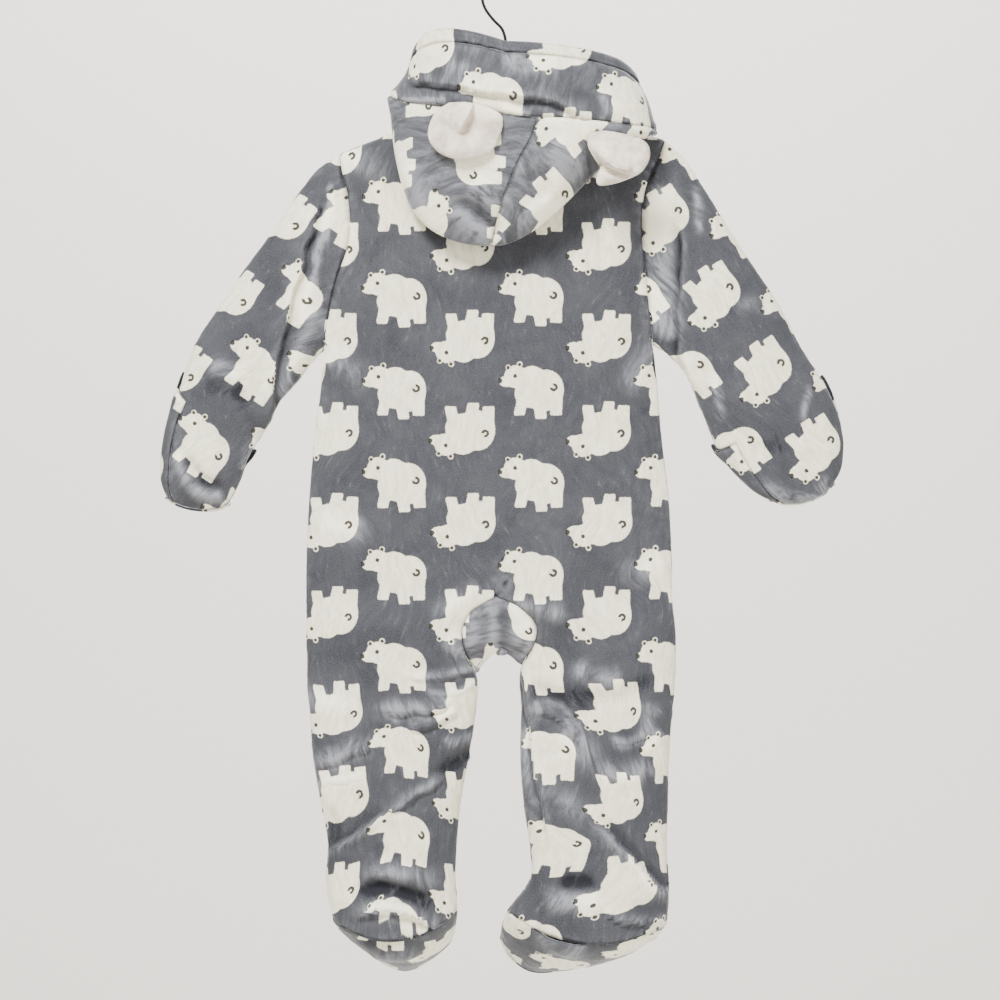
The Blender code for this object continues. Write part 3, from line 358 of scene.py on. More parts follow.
@dataclass(frozen=True)
class Tuck:
    """A fold that hides a strip of the print: its way, how much it takes, and how far beside it the print shifts.

    The print shifts on the left of the way, or on its right where take is below 0.
    """

    way: tuple[float, ...]
    take: float
    reach: float

    def move(self, spots: np.ndarray) -> np.ndarray:
        """How far the print lies from where it would without the fold.

        Args:
            spots: X and Z of each point.

        Returns:
            The move of each point.
        """
        away, side, along = nearest_on(fold_way(self.way), spots)
        distance = np.hypot(away[:, 0], away[:, 1])
        share = np.exp(-(distance / self.reach) ** 2) * (side * np.sign(self.take) >= 0)
        share *= ramp_up(0, 0.2, along) * ramp_up(0, 0.2, 1 - along)
        chord = np.array(self.way[-2:]) - np.array(self.way[:2])
        across = np.array([-chord[1], chord[0]]) / np.linalg.norm(chord)
        return across * (self.take * share)[:, None]


@dataclass(frozen=True)
class PrintLay:
    """How the print lies on a piece: turned clockwise as seen from its face, then shifted, in degrees and mm."""

    turn: float = 0.0
    shift: tuple[float, float] = (0.0, 0.0)
    seen_from_front: bool = False
    by_arc: bool = False
    slips: tuple[Slip, ...] = ()
    tucks: tuple[Tuck, ...] = ()
    waver: float = 1.6

    def coordinates(self, points: np.ndarray, middle: np.ndarray) -> np.ndarray:
        """Print coordinates of a grid, with true lengths across it.

        Args:
            points: places by row and column.
            middle: for each row, the column where the print is anchored.

        Returns:
            Two print coordinates in millimetres for each point.
        """
        flat = points[..., [0, 2]].copy()
        slipped = np.zeros_like(flat)
        for slip in self.slips:
            squared = ((flat - np.array(slip.place)) ** 2).sum(axis=-1)
            slipped -= np.exp(-squared / slip.reach ** 2)[..., None] * np.array(slip.move)
        for tuck in self.tucks:
            slipped += tuck.move(flat.reshape(-1, 2)).reshape(flat.shape)
        for axis in (0, 1):
            waves = noise_at(points.reshape(-1, 3), WAVER_SIZE, (WAVER_APART * axis, 0, 0))
            slipped[..., axis] += self.waver * waves.reshape(flat.shape[:2])
        if self.seen_from_front:
            flat[..., 0] *= -1
        steps = np.linalg.norm(np.diff(points, axis=1), axis=2)
        arc = np.concatenate([np.zeros((len(points), 1)), np.cumsum(steps, axis=1)], axis=1)
        first = np.minimum(middle.astype(int), points.shape[1] - 2)
        part = (middle - first)[:, None]
        rows = np.arange(len(points))
        anchor = flat[rows, first] * (1 - part) + flat[rows, first + 1] * part
        anchor_arc = arc[rows, first] * (1 - part[:, 0]) + arc[rows, first + 1] * part[:, 0]
        if self.by_arc:
            line = points[rows, first]
            run = run_along(line)
            flat[..., 1] += (anchor[0, 1] - run - anchor[:, 1])[:, None]
            anchor = np.stack([anchor[:, 0], anchor[0, 1] - run], axis=1)
        off = flat - anchor[:, None]
        reach = np.maximum(np.linalg.norm(off, axis=2), 1e-6)
        flat = anchor[:, None] + off * (np.abs(arc - anchor_arc[:, None]) / reach)[..., None]
        flat = flat + slipped
        turn = math.radians(self.turn)
        u = flat[..., 0] * math.cos(turn) - flat[..., 1] * math.sin(turn) + self.shift[0]
        v = flat[..., 0] * math.sin(turn) + flat[..., 1] * math.cos(turn) + self.shift[1]
        return np.stack([u, v], axis=-1)


@dataclass
class Patch:
    """A grid of points with its print coordinates, and the way it looks."""

    points: np.ndarray
    coordinates: np.ndarray
    facing: tuple[float, float, float]
    probe: tuple[int, int] | None = None

    def cells(self, numbers: np.ndarray) -> np.ndarray:
        """The grid's cells, facing outwards.

        Args:
            numbers: a vertex number for each point.

        Returns:
            Four corner places for each cell, as flat grid numbers.
        """
        rows, columns = numbers.shape
        flat = np.arange(rows * columns).reshape(rows, columns)
        cells = np.stack([flat[:-1, :-1], flat[:-1, 1:], flat[1:, 1:], flat[1:, :-1]], axis=-1)
        row, column = self.probe or ((rows - 1) // 2, (columns - 1) // 2)
        a, b, c, d = self.points.reshape(-1, 3)[cells[row, column]]
        if np.dot(np.cross(c - a, d - b), self.facing) < 0:
            cells = cells[..., ::-1]
        return cells.reshape(-1, 4)


@dataclass
class Roll:
    """How cloth rolls in towards its seams."""

    depth: float = 1.5
    width: float = 4.2
    pucker: float = 0.7


PUCKER_SIZE = 5.5
FLAT_FROM, FLAT_TO = 0.1, 0.55     # how squarely cloth faces the viewer where folds start, and where they are whole
SIDE_FROM, SIDE_TO = 0.4, 0.65     # the same, for where seams roll straight back only
# Painted highlight along the seams' rolled cloth, broken by the pucker, and painted shade at the seam's very edge.
SEAM_PAINTED_HIGHLIGHT, EDGE_EVEN, SEAM_PAINTED_SHADE = 0.3, 0.6, 0.42


@dataclass
class ClothPiece:
    """One cut piece of cloth: its patches, folds, finish and what it stands for."""

    name: str
    patches: list[Patch]
    drape: Drape
    cut: tuple[float, float]
    node: str
    rests_on: tuple[str, ...]
    roll: Roll = field(default_factory=Roll)
    wall: float = CLOTH_WALL
    along_normal: bool = False
    slot: str = PLUSH_SLOT
    vertices: np.ndarray = field(init=False, default=None)
    faces: list[list[int]] = field(init=False, default_factory=list)

    def weld(self) -> tuple[np.ndarray, list[list[int]], np.ndarray]:
        """Join the patches where their points meet.

        Returns:
            The points, the faces, and print coordinates for each corner of each face.
        """
        places = np.concatenate([patch.points.reshape(-1, 3) for patch in self.patches])
        _, first, numbers = np.unique(np.round(places, 2), axis=0, return_index=True, return_inverse=True)
        numbers = numbers.reshape(-1)
        faces, corners, start = [], [], 0
        for patch in self.patches:
            rows, columns = patch.points.shape[:2]
            mine = numbers[start:start + rows * columns].reshape(rows, columns)
            flat, prints = mine.reshape(-1), patch.coordinates.reshape(-1, 2)
            for cell in patch.cells(mine).tolist():
                kept = []
                for corner in cell:
                    if flat[corner] not in [flat[k] for k in kept]:
                        kept.append(corner)
                if len(kept) > 2:
                    faces.append([int(flat[corner]) for corner in kept])
                    corners.extend(prints[kept].tolist())
            start += rows * columns
        return places[first], faces, np.array(corners)

    @staticmethod
    def normals(points: np.ndarray, faces: list[list[int]]) -> np.ndarray:
        """Unit normals at points.

        Args:
            points: the places.
            faces: point numbers of each face.

        Returns:
            A normal for each point.
        """
        total = np.zeros_like(points)
        for size in (3, 4):
            some = np.array([face for face in faces if len(face) == size], dtype=int)
            if not len(some):
                continue
            corners = points[some]
            normal = np.cross(corners[:, size // 2] - corners[:, 0], corners[:, -1] - corners[:, 1])
            for k in range(size):
                np.add.at(total, some[:, k], normal)
        return total / np.maximum(np.linalg.norm(total, axis=1, keepdims=True), 1e-9)

    def edge_distances(self, points: np.ndarray, faces: list[list[int]]) -> np.ndarray:
        """How far each point lies from the piece's edge.

        Args:
            points: the places.
            faces: point numbers of each face.

        Returns:
            A distance for each point.
        """
        seen: dict[tuple[int, int], int] = {}
        for face in faces:
            for a, b in zip(face, face[1:] + face[:1]):
                pair = (min(a, b), max(a, b))
                seen[pair] = seen.get(pair, 0) + 1
        border = [pair for pair, count in seen.items() if count == 1]
        tree = KDTree(len(border) * 2)
        for number, (a, b) in enumerate(border):
            tree.insert(points[a], 2 * number)
            tree.insert((points[a] + points[b]) / 2, 2 * number + 1)
        tree.balance()
        return np.array([tree.find(p)[2] for p in points.tolist()])

    def build(self, plush: bpy.types.Material, lining: bpy.types.Material) -> bpy.types.Object:
        """Make the piece.

        Args:
            plush: finish of the outer face.
            lining: finish of the inner face.

        Returns:
            The finished object.
        """
        points, faces, corners = self.weld()
        normals = self.normals(points, faces)
        rise, light = self.drape.lay(points)
        if self.along_normal:
            points = points + normals * rise[:, None]
        else:
            flatness = ramp_up(FLAT_FROM, FLAT_TO, np.abs(normals[:, 1])) * np.sign(normals[:, 1])
            points = points.copy()
            points[:, 1] += rise * flatness
        distances = self.edge_distances(points, faces)
        near = np.clip(1 - distances / self.roll.width, 0, 1)
        normals = self.normals(points, faces)
        pucker = noise_at(points, PUCKER_SIZE)
        wide = np.clip(1 - distances / (3 * self.roll.width), 0, 1)
        inwards = normals.copy()
        inwards[:, [0, 2]] *= 1 - ramp_up(SIDE_FROM, SIDE_TO, np.abs(normals[:, 1]))[:, None]
        points = points - inwards * (self.roll.depth * near ** 2 - self.roll.pucker * pucker * wide)[:, None]
        # Painted highlight on the rolled cloth near seams, and painted shade at the edge, which its rim takes too.
        light = light + SEAM_PAINTED_HIGHLIGHT * wide ** 2 * (EDGE_EVEN + pucker) - SEAM_PAINTED_SHADE * near ** 5
        self.vertices, self.faces = points, faces
        made = mesh_object(self.name, points * MM, faces, (plush, lining))
        layer = made.data.uv_layers.new(name=PRINT_MAP)
        layer.data.foreach_set("uv", (corners * MM).astype(np.float32).ravel())
        # The nap value carries the painted highlight and shade to the plush's shader.
        nap = made.data.attributes.new(NAP_AND_PAINTED_LIGHT, "FLOAT", "POINT")
        nap.data.foreach_set("value", light.astype(np.float32))
        wall = made.modifiers.new("wall", "SOLIDIFY")
        wall.thickness = self.wall * MM
        wall.offset = -1.0
        wall.material_offset = 1
        apply_all(made)
        made.data.shade_smooth()
        return made

    def dress(self, made: bpy.types.Object) -> None:
        """Hang the piece under the suit's body, and hide the model part that it stands for.

        Args:
            made: the finished object.
        """
        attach(made, SUIT)
        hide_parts(self.node)


def select_only(made: bpy.types.Object) -> None:
    """Make one object the only selected one, and the active one.

    Args:
        made: the object.
    """
    bpy.ops.object.select_all(action="DESELECT")
    made.select_set(True)
    bpy.context.view_layer.objects.active = made


def apply_all(made: bpy.types.Object) -> None:
    """Apply every modifier of an object.

    Args:
        made: the object.
    """
    select_only(made)
    for step in list(made.modifiers):
        bpy.ops.object.modifier_apply(modifier=step.name)


# ------------------------------------------------------------------ finishes
def start_material(name: str) -> bpy.types.Material:
    """Start a node material.

    Args:
        name: what it is really made of.

    Returns:
        The material.
    """
    made = bpy.data.materials.new(name)
    made.use_nodes = True
    return made


def join_surface(tree: bpy.types.NodeTree, links: dict[str, bpy.types.NodeSocket], values: dict[str, float]) -> None:
    """Join a finish to its shader.

    Args:
        tree: the material's nodes.
        links: sockets by the name of the shader's input.
        values: numbers by the name of the shader's input.
    """
    shader = tree.nodes["Principled BSDF"]
    for name, source in links.items():
        tree.links.new(source, shader.inputs[name])
    for name, value in values.items():
        shader.inputs[name].default_value = value


def print_chart(tree: bpy.types.NodeTree) -> bpy.types.NodeSocket:
    """The print's coordinates, in metres."""
    return add_node(tree, "ShaderNodeUVMap", {"uv_map": PRINT_MAP}).outputs[0]


def grain(tree: bpy.types.NodeTree, place: bpy.types.NodeSocket, scale: float, detail: float,
          **more: float) -> bpy.types.Node:
    """A noise texture at a place. More gives its other inputs by name."""
    return add_node(tree, "ShaderNodeTexNoise", {"Scale": scale, "Detail": detail, **more}, {"Vector": place})


def spread(tree: bpy.types.NodeTree, value: bpy.types.NodeSocket, **ends: float) -> bpy.types.NodeSocket:
    """Map a value between its ends, given as from_min, from_max, to_min and to_max."""
    named = {name.replace("_", " ").title(): end for name, end in ends.items()}
    return add_node(tree, "ShaderNodeMapRange", named, {"Value": value}).outputs[0]


def edge_of(tree: bpy.types.NodeTree, distance: bpy.types.NodeSocket, outside: float,
            inside: float) -> bpy.types.NodeSocket:
    """A soft mask from a distance, 0 at the outside one and 1 at the inside one."""
    ends = {"interpolation_type": "SMOOTHSTEP", "From Min": outside, "From Max": inside}
    return add_node(tree, "ShaderNodeMapRange", ends, {"Value": distance}).outputs[0]


def two_tones(tree: bpy.types.NodeTree, shade: str, light: str, level: bpy.types.NodeSocket) -> bpy.types.NodeSocket:
    """Mix two colours, the shade at level 0 and the light one at level 1."""
    colours = {"data_type": "RGBA", 6: linear(shade), 7: linear(light)}
    return add_node(tree, "ShaderNodeMix", colours, {0: level}).outputs[2]


def relief(tree: bpy.types.NodeTree, height: bpy.types.NodeSocket, strength: float,
           depth_mm: float) -> bpy.types.NodeSocket:
    """Bump from a height."""
    return add_node(tree, "ShaderNodeBump", {"Strength": strength, "Distance": depth_mm * MM},
                    {"Height": height}).outputs[0]


class Sums:
    """Sums of sockets and numbers in a material's nodes."""

    def __init__(self, tree: bpy.types.NodeTree) -> None:
        """Keep the nodes where the sums go."""
        self.tree = tree

    def work(self, kind: str, operation: str, given: Sequence[object]) -> bpy.types.Node:
        """Add the node of a sum.

        Args:
            kind: the node's type.
            operation: the sum's name.
            given: sockets or constants, in the order of the node's inputs.

        Returns:
            The node.
        """
        sockets = {k: v for k, v in enumerate(given) if isinstance(v, bpy.types.NodeSocket)}
        constants = {k: v for k, v in enumerate(given) if k not in sockets}
        return add_node(self.tree, kind, {"operation": operation, **constants}, sockets)

    def math(self, operation: str, *given: object) -> bpy.types.NodeSocket:
        """One value from sockets or numbers."""
        return self.work("ShaderNodeMath", operation, given).outputs[0]

    def vector(self, operation: str, *given: object) -> bpy.types.NodeSocket:
        """One vector from sockets or vectors."""
        return self.work("ShaderNodeVectorMath", operation, given).outputs[0]

    def length(self, operation: str, *given: object) -> bpy.types.NodeSocket:
        """One value from vectors."""
        return self.work("ShaderNodeVectorMath", operation, given).outputs["Value"]

    def centred(self, value: bpy.types.NodeSocket, span: float) -> bpy.types.NodeSocket:
        """A value from 0 to 1, spread over a span about 0."""
        return self.math("MULTIPLY_ADD", value, span, -span / 2)

    def clamped(self, value: bpy.types.NodeSocket) -> bpy.types.NodeSocket:
        """The value, kept from 0 to 1."""
        return add_node(self.tree, "ShaderNodeClamp", {}, {"Value": value}).outputs[0]


class BearPrint(Sums):
    """A small generic standing bear, drawn from ovals and rounded limbs, in a half drop repeat.

    Every second column is turned feet up. Sizes in millimetres, from the middle of the bear.
    """

    column = 56.0
    repeat = 75.4
    column_start = -11.6
    upright_row = -287.8
    flipped_drop = 34.2
    # Middle and half sizes.
    ovals = ((3.0, -3.0, 17.5, 12.5), (11.2, -1.2, 14.3, 16.6), (-0.6, 5.0, 13.0, 13.8), (-13.8, 10.8, 9.4, 9.0),
             (-21.4, 7.2, 6.0, 4.3))
    ears = ((-19.8, 18.2, 2.1), (-10.2, 20.6, 2.3))
    # From, to, radius, and how low the foot is.
    limbs = ((-7.0, -4.0, -10.2, -18.6, 4.5, -20.8), (4.4, -6.0, 7.6, -22.0, 4.6, -24.2),
             (19.6, -4.0, 20.0, -19.4, 4.8, -21.4))
    blend = 2.0
    tight_blend = 0.8          # at the ears, and between a leg and its sole
    fur_edge = 0.45            # half the width of the bear's soft edge
    ink_edge = (0.55, 0.05)
    nose = (-26.8, 7.8, 1.8)
    eye = (-14.2, 11.4, 1.4)
    ear_dots = ((-19.9, 18.1, 1.15), (-10.3, 20.5, 1.2))
    tail = (17.4, 1.0, 2.2, 1.7)
    tail_gap = (-2.3, 1.7, 2.1)    # where the curl is open, from the tail's middle, and its radius

    def oval(self, place: bpy.types.NodeSocket, x: float, y: float, half_x: float,
             half_y: float) -> bpy.types.NodeSocket:
        """Distance from an oval.

        Args:
            place: where it is asked for.
            x: middle.
            y: middle.
            half_x: half its width.
            half_y: half its height.

        Returns:
            The distance in millimetres, below 0 inside.
        """
        off = self.vector("SUBTRACT", place, (x, y, 0))
        size = self.length("LENGTH", self.vector("DIVIDE", off, (half_x, half_y, 1)))
        small = min(half_x, half_y)
        return self.math("MULTIPLY_ADD", size, small, -small)

    def limb(self, place: bpy.types.NodeSocket, x0: float, y0: float, x1: float, y1: float,
             radius: float) -> bpy.types.NodeSocket:
        """Distance from a rounded limb.

        Args:
            place: where it is asked for.
            x0: one end.
            y0: one end.
            x1: the other end.
            y1: the other end.
            radius: half its width.

        Returns:
            The distance in millimetres, below 0 inside.
        """
        dx, dy = x1 - x0, y1 - y0
        squared = dx * dx + dy * dy
        off = self.vector("SUBTRACT", place, (x0, y0, 0))
        share = self.clamped(self.length("DOT_PRODUCT", off, (dx / squared, dy / squared, 0)))
        along = add_node(self.tree, "ShaderNodeVectorMath", {"operation": "SCALE", 0: (dx, dy, 0)}, {"Scale": share})
        return self.math("SUBTRACT", self.length("DISTANCE", off, along.outputs[0]), radius)

    def local_place(self, coordinates: bpy.types.NodeSocket) -> bpy.types.NodeSocket:
        """Find the place within a bear's own cell.

        Args:
            coordinates: print coordinates in millimetres.

        Returns:
            The place from the bear's middle.
        """
        split = add_node(self.tree, "ShaderNodeSeparateXYZ", {}, {0: coordinates})
        across = self.math("MULTIPLY_ADD", split.outputs[0], 1 / self.column, -self.column_start / self.column)
        number = self.math("FLOOR", across)
        flipped = self.math("FLOORED_MODULO", number, 2.0)
        local_x = self.math("MULTIPLY", self.math("SUBTRACT", self.math("FRACT", across), 0.5), self.column)
        dropped = self.math("MULTIPLY_ADD", flipped, self.flipped_drop / self.repeat,
                            0.5 - self.upright_row / self.repeat)
        down = self.math("MULTIPLY_ADD", split.outputs[1], 1 / self.repeat, dropped)
        local_y = self.math("MULTIPLY", self.math("SUBTRACT", self.math("FRACT", down), 0.5), self.repeat)
        facing = self.math("MULTIPLY_ADD", flipped, -2.0, 1.0)
        turned_y = self.math("MULTIPLY", local_y, facing)
        return add_node(self.tree, "ShaderNodeCombineXYZ", {}, {0: local_x, 1: turned_y}).outputs[0]

    def masks(self, coordinates: bpy.types.NodeSocket) -> tuple[bpy.types.NodeSocket, bpy.types.NodeSocket]:
        """Where the bear and its ink marks are.

        Args:
            coordinates: print coordinates in millimetres.

        Returns:
            The bear's mask and the ink's mask.
        """
        place = self.local_place(coordinates)
        parts = [self.oval(place, *each) for each in self.ovals]
        height = add_node(self.tree, "ShaderNodeSeparateXYZ", {}, {0: place}).outputs[1]
        for *each, sole in self.limbs:
            leg = self.limb(place, *each)
            parts.append(self.math("SMOOTH_MAX", leg, self.math("SUBTRACT", sole, height), self.tight_blend))
        body = parts[0]
        for part in parts[1:]:
            body = self.math("SMOOTH_MIN", body, part, self.blend)
        for x, y, radius in self.ears:
            body = self.math("SMOOTH_MIN", body, self.oval(place, x, y, radius, radius), self.tight_blend)
        x, y, radius, thick = self.tail
        curl = self.math("SUBTRACT", self.math("ABSOLUTE", self.oval(place, x, y, radius, radius)), thick / 2)
        gap_x, gap_y, gap_radius = self.tail_gap
        gap = self.oval(place, x + gap_x, y + gap_y, gap_radius, gap_radius)
        ink = self.math("MAXIMUM", curl, self.math("MULTIPLY", gap, -1.0))
        for x, y, radius in (self.nose, self.eye, *self.ear_dots):
            ink = self.math("MINIMUM", ink, self.oval(place, x, y, radius, radius))
        return (edge_of(self.tree, body, self.fur_edge, -self.fur_edge), edge_of(self.tree, ink, *self.ink_edge))


# The bloom of a brushed pile, seen along its surface.
BLOOM = {"Sheen Weight": 0.5, "Sheen Roughness": 0.3}
WAVE_SCALE = 314.0         # the wave texture's scale for ribs of two millimetres


@dataclass(frozen=True)
class PrintedPlush:
    """Short polyester plush, knitted, cut and brushed, with a pale bear print. It gives a soft bloom and streaks, and
    takes painted highlight and shade of folds and seams from the cloth's nap value.
    """

    name: str = "printed_polyester_plush"
    # The ground runs from deep to brushed grey; painted shade of folds and seams pushes it to deep, painted highlight
    # to brushed.
    deep: str = "#1D1E23"
    brushed: str = "#7B7C81"
    bear: str = "#F6F0D6"
    bear_shade: str = "#B4AE97"
    ink: str = "#0A0A09"
    fibre_mm: float = 1.1      # tufts of pile, drawn coarser than the real fibres so that they show
    streak_mm: float = 4.5     # brushed streaks, three times as long as wide
    swirl_mm: float = 70.0     # how soon the brushing changes its way
    patch_mm: float = 38.0
    bend_mm: float = 60.0      # how far the brushing bends
    fray_mm: float = 1.5       # how far the pile frays the print's edge
    base: float = 0.17
    mottling: float = 0.13
    break_mm: float = 12.0     # where brushed light patches break up

    def make(self) -> bpy.types.Material:
        """Build the material.

        Returns:
            The material.
        """
        made = start_material(self.name)
        tree = made.node_tree
        sums = BearPrint(tree)
        place = add_node(tree, "ShaderNodeVectorMath", {"operation": "SCALE", "Scale": 1 / MM},
                         {0: print_chart(tree)}).outputs[0]
        tufts = grain(tree, place, 1 / self.fibre_mm, 2.0, Roughness=0.6)
        centred = sums.vector("SUBTRACT", tufts.outputs["Color"], (0.5, 0.5, 0.5))
        bear, ink = sums.masks(sums.vector("MULTIPLY_ADD", centred, (self.fray_mm, self.fray_mm, 0), place))
        swirl = grain(tree, place, 1 / self.swirl_mm, 1.0)
        bent = sums.vector("MULTIPLY_ADD", swirl.outputs["Color"], (self.bend_mm, self.bend_mm, 0), place)
        stretched = sums.vector("MULTIPLY", bent, (1.0, 0.3, 1.0))
        streaks = grain(tree, stretched, 1 / self.streak_mm, 5.0, Roughness=0.7).outputs["Fac"]
        clouds = grain(tree, place, 1 / self.patch_mm, 3.0, Roughness=0.55, Distortion=0.8).outputs["Fac"]
        breaks = grain(tree, stretched, 1 / self.break_mm, 4.0, Roughness=0.65, Distortion=1.0).outputs["Fac"]
        pile = tufts.outputs["Fac"]
        # Nap value: brushed pile tone with painted highlight and shade of folds and seams.
        painted = add_node(tree, "ShaderNodeAttribute", {"attribute_name": NAP_AND_PAINTED_LIGHT}).outputs["Fac"]
        # How light the grey ground is: a base with mottling, the nap (brushed pile with the painted highlight and shade
        # of folds and seams) broken up, and bright scratches.
        mottled = sums.math("ADD", sums.centred(clouds, 1.7), sums.centred(streaks, 1.5))
        broken = spread(tree, breaks, from_min=0.36, from_max=0.6, to_min=0.15, to_max=1.5)
        uneven = sums.math("MULTIPLY", sums.math("MULTIPLY_ADD", streaks, 2.8, -0.55), broken)
        scratches = spread(tree, streaks, from_min=0.6, from_max=0.8, to_max=0.4)
        brushed = sums.math("ADD", sums.math("MULTIPLY_ADD", mottled, self.mottling, self.base),
                            sums.math("ADD", sums.math("MULTIPLY", painted, uneven), scratches))
        brushed = sums.math("ADD", brushed, sums.centred(pile, 0.34))
        ground = two_tones(tree, self.deep, self.brushed, sums.clamped(brushed))
        # The bears' cream shades with the streaks and with the painted highlight and shade of the nap value.
        shade = sums.math("ADD", sums.math("MULTIPLY_ADD", streaks, 1.6, -0.25), sums.math("MULTIPLY", painted, 0.8))
        shade = sums.math("ADD", shade, sums.centred(pile, 0.9))
        pale = two_tones(tree, self.bear_shade, self.bear, sums.clamped(shade))
        printed = add_node(tree, "ShaderNodeMix", {"data_type": "RGBA"}, {0: bear, 6: ground, 7: pale})
        colour = add_node(tree, "ShaderNodeMix", {"data_type": "RGBA", 7: linear(self.ink)},
                          {0: sums.math("MULTIPLY", ink, 0.95), 6: printed.outputs[2]})
        height = sums.math("ADD", pile, sums.math("MULTIPLY", streaks, 1.2))
        join_surface(tree, {"Base Color": colour.outputs[2], "Normal": relief(tree, height, 0.55, 0.7)},
                     {"Roughness": 0.92, "Specular IOR Level": 0.25, **BLOOM})
        return made


@dataclass(frozen=True)
class CreamPlush:
    """Plain polyester plush, brushed. Used on the ears; warm, with a soft bloom."""

    name: str = "cream_polyester_plush"
    light: str = "#E6DCCC"
    shade: str = "#B8A99A"

    def make(self) -> bpy.types.Material:
        """Build the material.

        Returns:
            The material.
        """
        made = start_material(self.name)
        tree = made.node_tree
        place = add_node(tree, "ShaderNodeTexCoord").outputs["Object"]
        tufts = grain(tree, place, 850.0, 2.0)
        clouds = spread(tree, grain(tree, place, 75.0, 4.0, Roughness=0.6).outputs["Fac"], from_min=0.35, from_max=0.65)
        join_surface(tree, {"Base Color": two_tones(tree, self.shade, self.light, clouds),
                            "Normal": relief(tree, tufts.outputs["Fac"], 0.5, 0.6)}, {"Roughness": 0.92, **BLOOM})
        return made


@dataclass(frozen=True)
class RibbedCloth:
    """Cloth whose threads or loops show as close ribs."""

    name: str
    light: str
    shade: str
    rib_mm: float
    way: str
    distortion: float
    detail: float
    strength: float
    depth_mm: float
    roughness: float

    def make(self) -> bpy.types.Material:
        """Build the material.

        Returns:
            The material.
        """
        made = start_material(self.name)
        tree = made.node_tree
        ribs = add_node(tree, "ShaderNodeTexWave",
                        {"bands_direction": self.way, "Scale": WAVE_SCALE / self.rib_mm / 2,
                         "Distortion": self.distortion, "Detail": self.detail}, {"Vector": print_chart(tree)})
        ribs = ribs.outputs["Fac"]
        join_surface(tree, {"Base Color": two_tones(tree, self.shade, self.light, ribs),
                            "Normal": relief(tree, ribs, self.strength, self.depth_mm)}, {"Roughness": self.roughness})
        return made


@dataclass(frozen=True)
class HardFinish:
    """A hard surface: moulded, coated or plated. Fine grain in its roughness and a little in its relief."""

    name: str
    light: str
    shade: str
    roughness: float
    metallic: float
    grain_mm: float
    relief_mm: float

    def make(self) -> bpy.types.Material:
        """Build the material.

        Returns:
            The material.
        """
        made = start_material(self.name)
        tree = made.node_tree
        place = add_node(tree, "ShaderNodeTexCoord").outputs["Object"]
        fine = grain(tree, place, 1000 / self.grain_mm, 4.0, Roughness=0.6).outputs["Fac"]
        wear = grain(tree, place, 60.0, 3.0).outputs["Fac"]
        rough = spread(tree, fine, to_min=self.roughness - 0.08, to_max=self.roughness + 0.1)
        join_surface(tree, {"Base Color": two_tones(tree, self.shade, self.light, wear), "Roughness": rough,
                            "Normal": relief(tree, fine, 0.3, self.relief_mm)}, {"Metallic": self.metallic})
        return made


# The plush's unbrushed back. Its rows of loops show as a faint ribbing, at twice their real spacing.
KNIT_BACK = RibbedCloth("warp_knit_back", "#8A898F", "#66656B", 1.6, "Y", 0.6, 1.0, 0.4, 0.3, 0.9)
# Polyester zip tape, woven in a fine herringbone that reads as close slanting ribs.
WOVEN_TAPE = RibbedCloth("woven_zip_tape", "#5C5D66", "#3C3D45", 1.2, "DIAGONAL", 0.0, 0.0, 0.5, 0.2, 0.75)
MOULDED_HIPS = HardFinish("moulded_polystyrene", "#202023", "#161618", 0.42, 0.0, 0.6, 0.05)
COATED_WIRE = HardFinish("black_coated_steel_wire", "#1A1A1C", "#0E0E0F", 0.34, 0.5, 0.8, 0.03)
PLATED_ZINC = HardFinish("plated_zinc_casting", "#A6A8AC", "#85878B", 0.3, 1.0, 0.5, 0.02)
MOULDED_TEETH = HardFinish("moulded_acetal_teeth", "#5A5B64", "#484950", 0.4, 0.0, 0.5, 0.02)
PALE_PAINT = HardFinish("pale_matt_paint", "#EBE8E2", "#E6E3DC", 0.9, 0.0, 2.0, 0.05)


# ------------------------------------------------------------------ body and legs
BACK_SLIPS = tuple(Slip(*row) for row in (
    ((-89.4, -656.8), 34.0, (5.0, 10.0)), ((-89.4, -725.7), 34.0, (5.0, 15.0)), ((-98.4, -785.6), 30.0, (-2.0, 19.0)),
    ((-142.7, -628.1), 28.0, (4.0, -6.5)), ((-136.9, -691.3), 32.0, (8.0, 6.0)), ((-141.0, -771.6), 26.0, (3.0, -2.0)),
    ((41.0, -660.1), 30.0, (8.0, 6.0)), ((44.3, -740.5), 36.0, (17.0, 5.0)), ((86.9, -701.9), 34.0, (14.0, -2.0)),
    ((84.5, -624.0), 32.0, (11.0, -1.0)), ((105.0, -775.7), 34.0, (18.0, 0.0)), ((121.4, -736.4), 24.0, (0.0, 6.0)),
))
BACK_TUCKS = (
    Tuck((-132.8, -796.2, -114.8, -788.8, -93.5, -788.8, -72.2, -797.0, -55.8, -807.7), -24.0, 60.0),
    Tuck((6.6, -587.9, 10.7, -606.0, 13.1, -628.1, 15.6, -651.1, 18.0, -674.0, 23.0, -697.0, 27.1, -718.3, 31.2,
          -745.4), -13.0, 26.0),
    Tuck((66.4, -712.6, 83.6, -730.6, 100.0, -748.7, 118.1, -768.3, 131.2, -778.2), -12.0, 30.0),
    Tuck((-152.5, -742.1, -131.2, -729.0, -113.2, -715.9, -95.1, -704.4), 8.0, 24.0),
)
LEFT_SLEEVE_TUCK = Tuck((-154.2, -181.2, -156.6, -207.5, -166.5, -240.3, -175.5, -276.3, -185.3, -310.8, -192.7,
                         -341.9, -196.8, -381.3), 15.0, 34.0)


class Face(Enum):
    """Which side of the suit a piece is on, as the sign of its Y."""

    BACK = -1
    FRONT = 1


@dataclass(frozen=True)
class Form:
    """One section's depths. See the fields' names; turn is how far it has turned round the inner leg."""

    back: float
    front: float
    edge: float
    turn: float
    cowl: float
    lift: float
    scoop: float
    zip: float
    bow: float


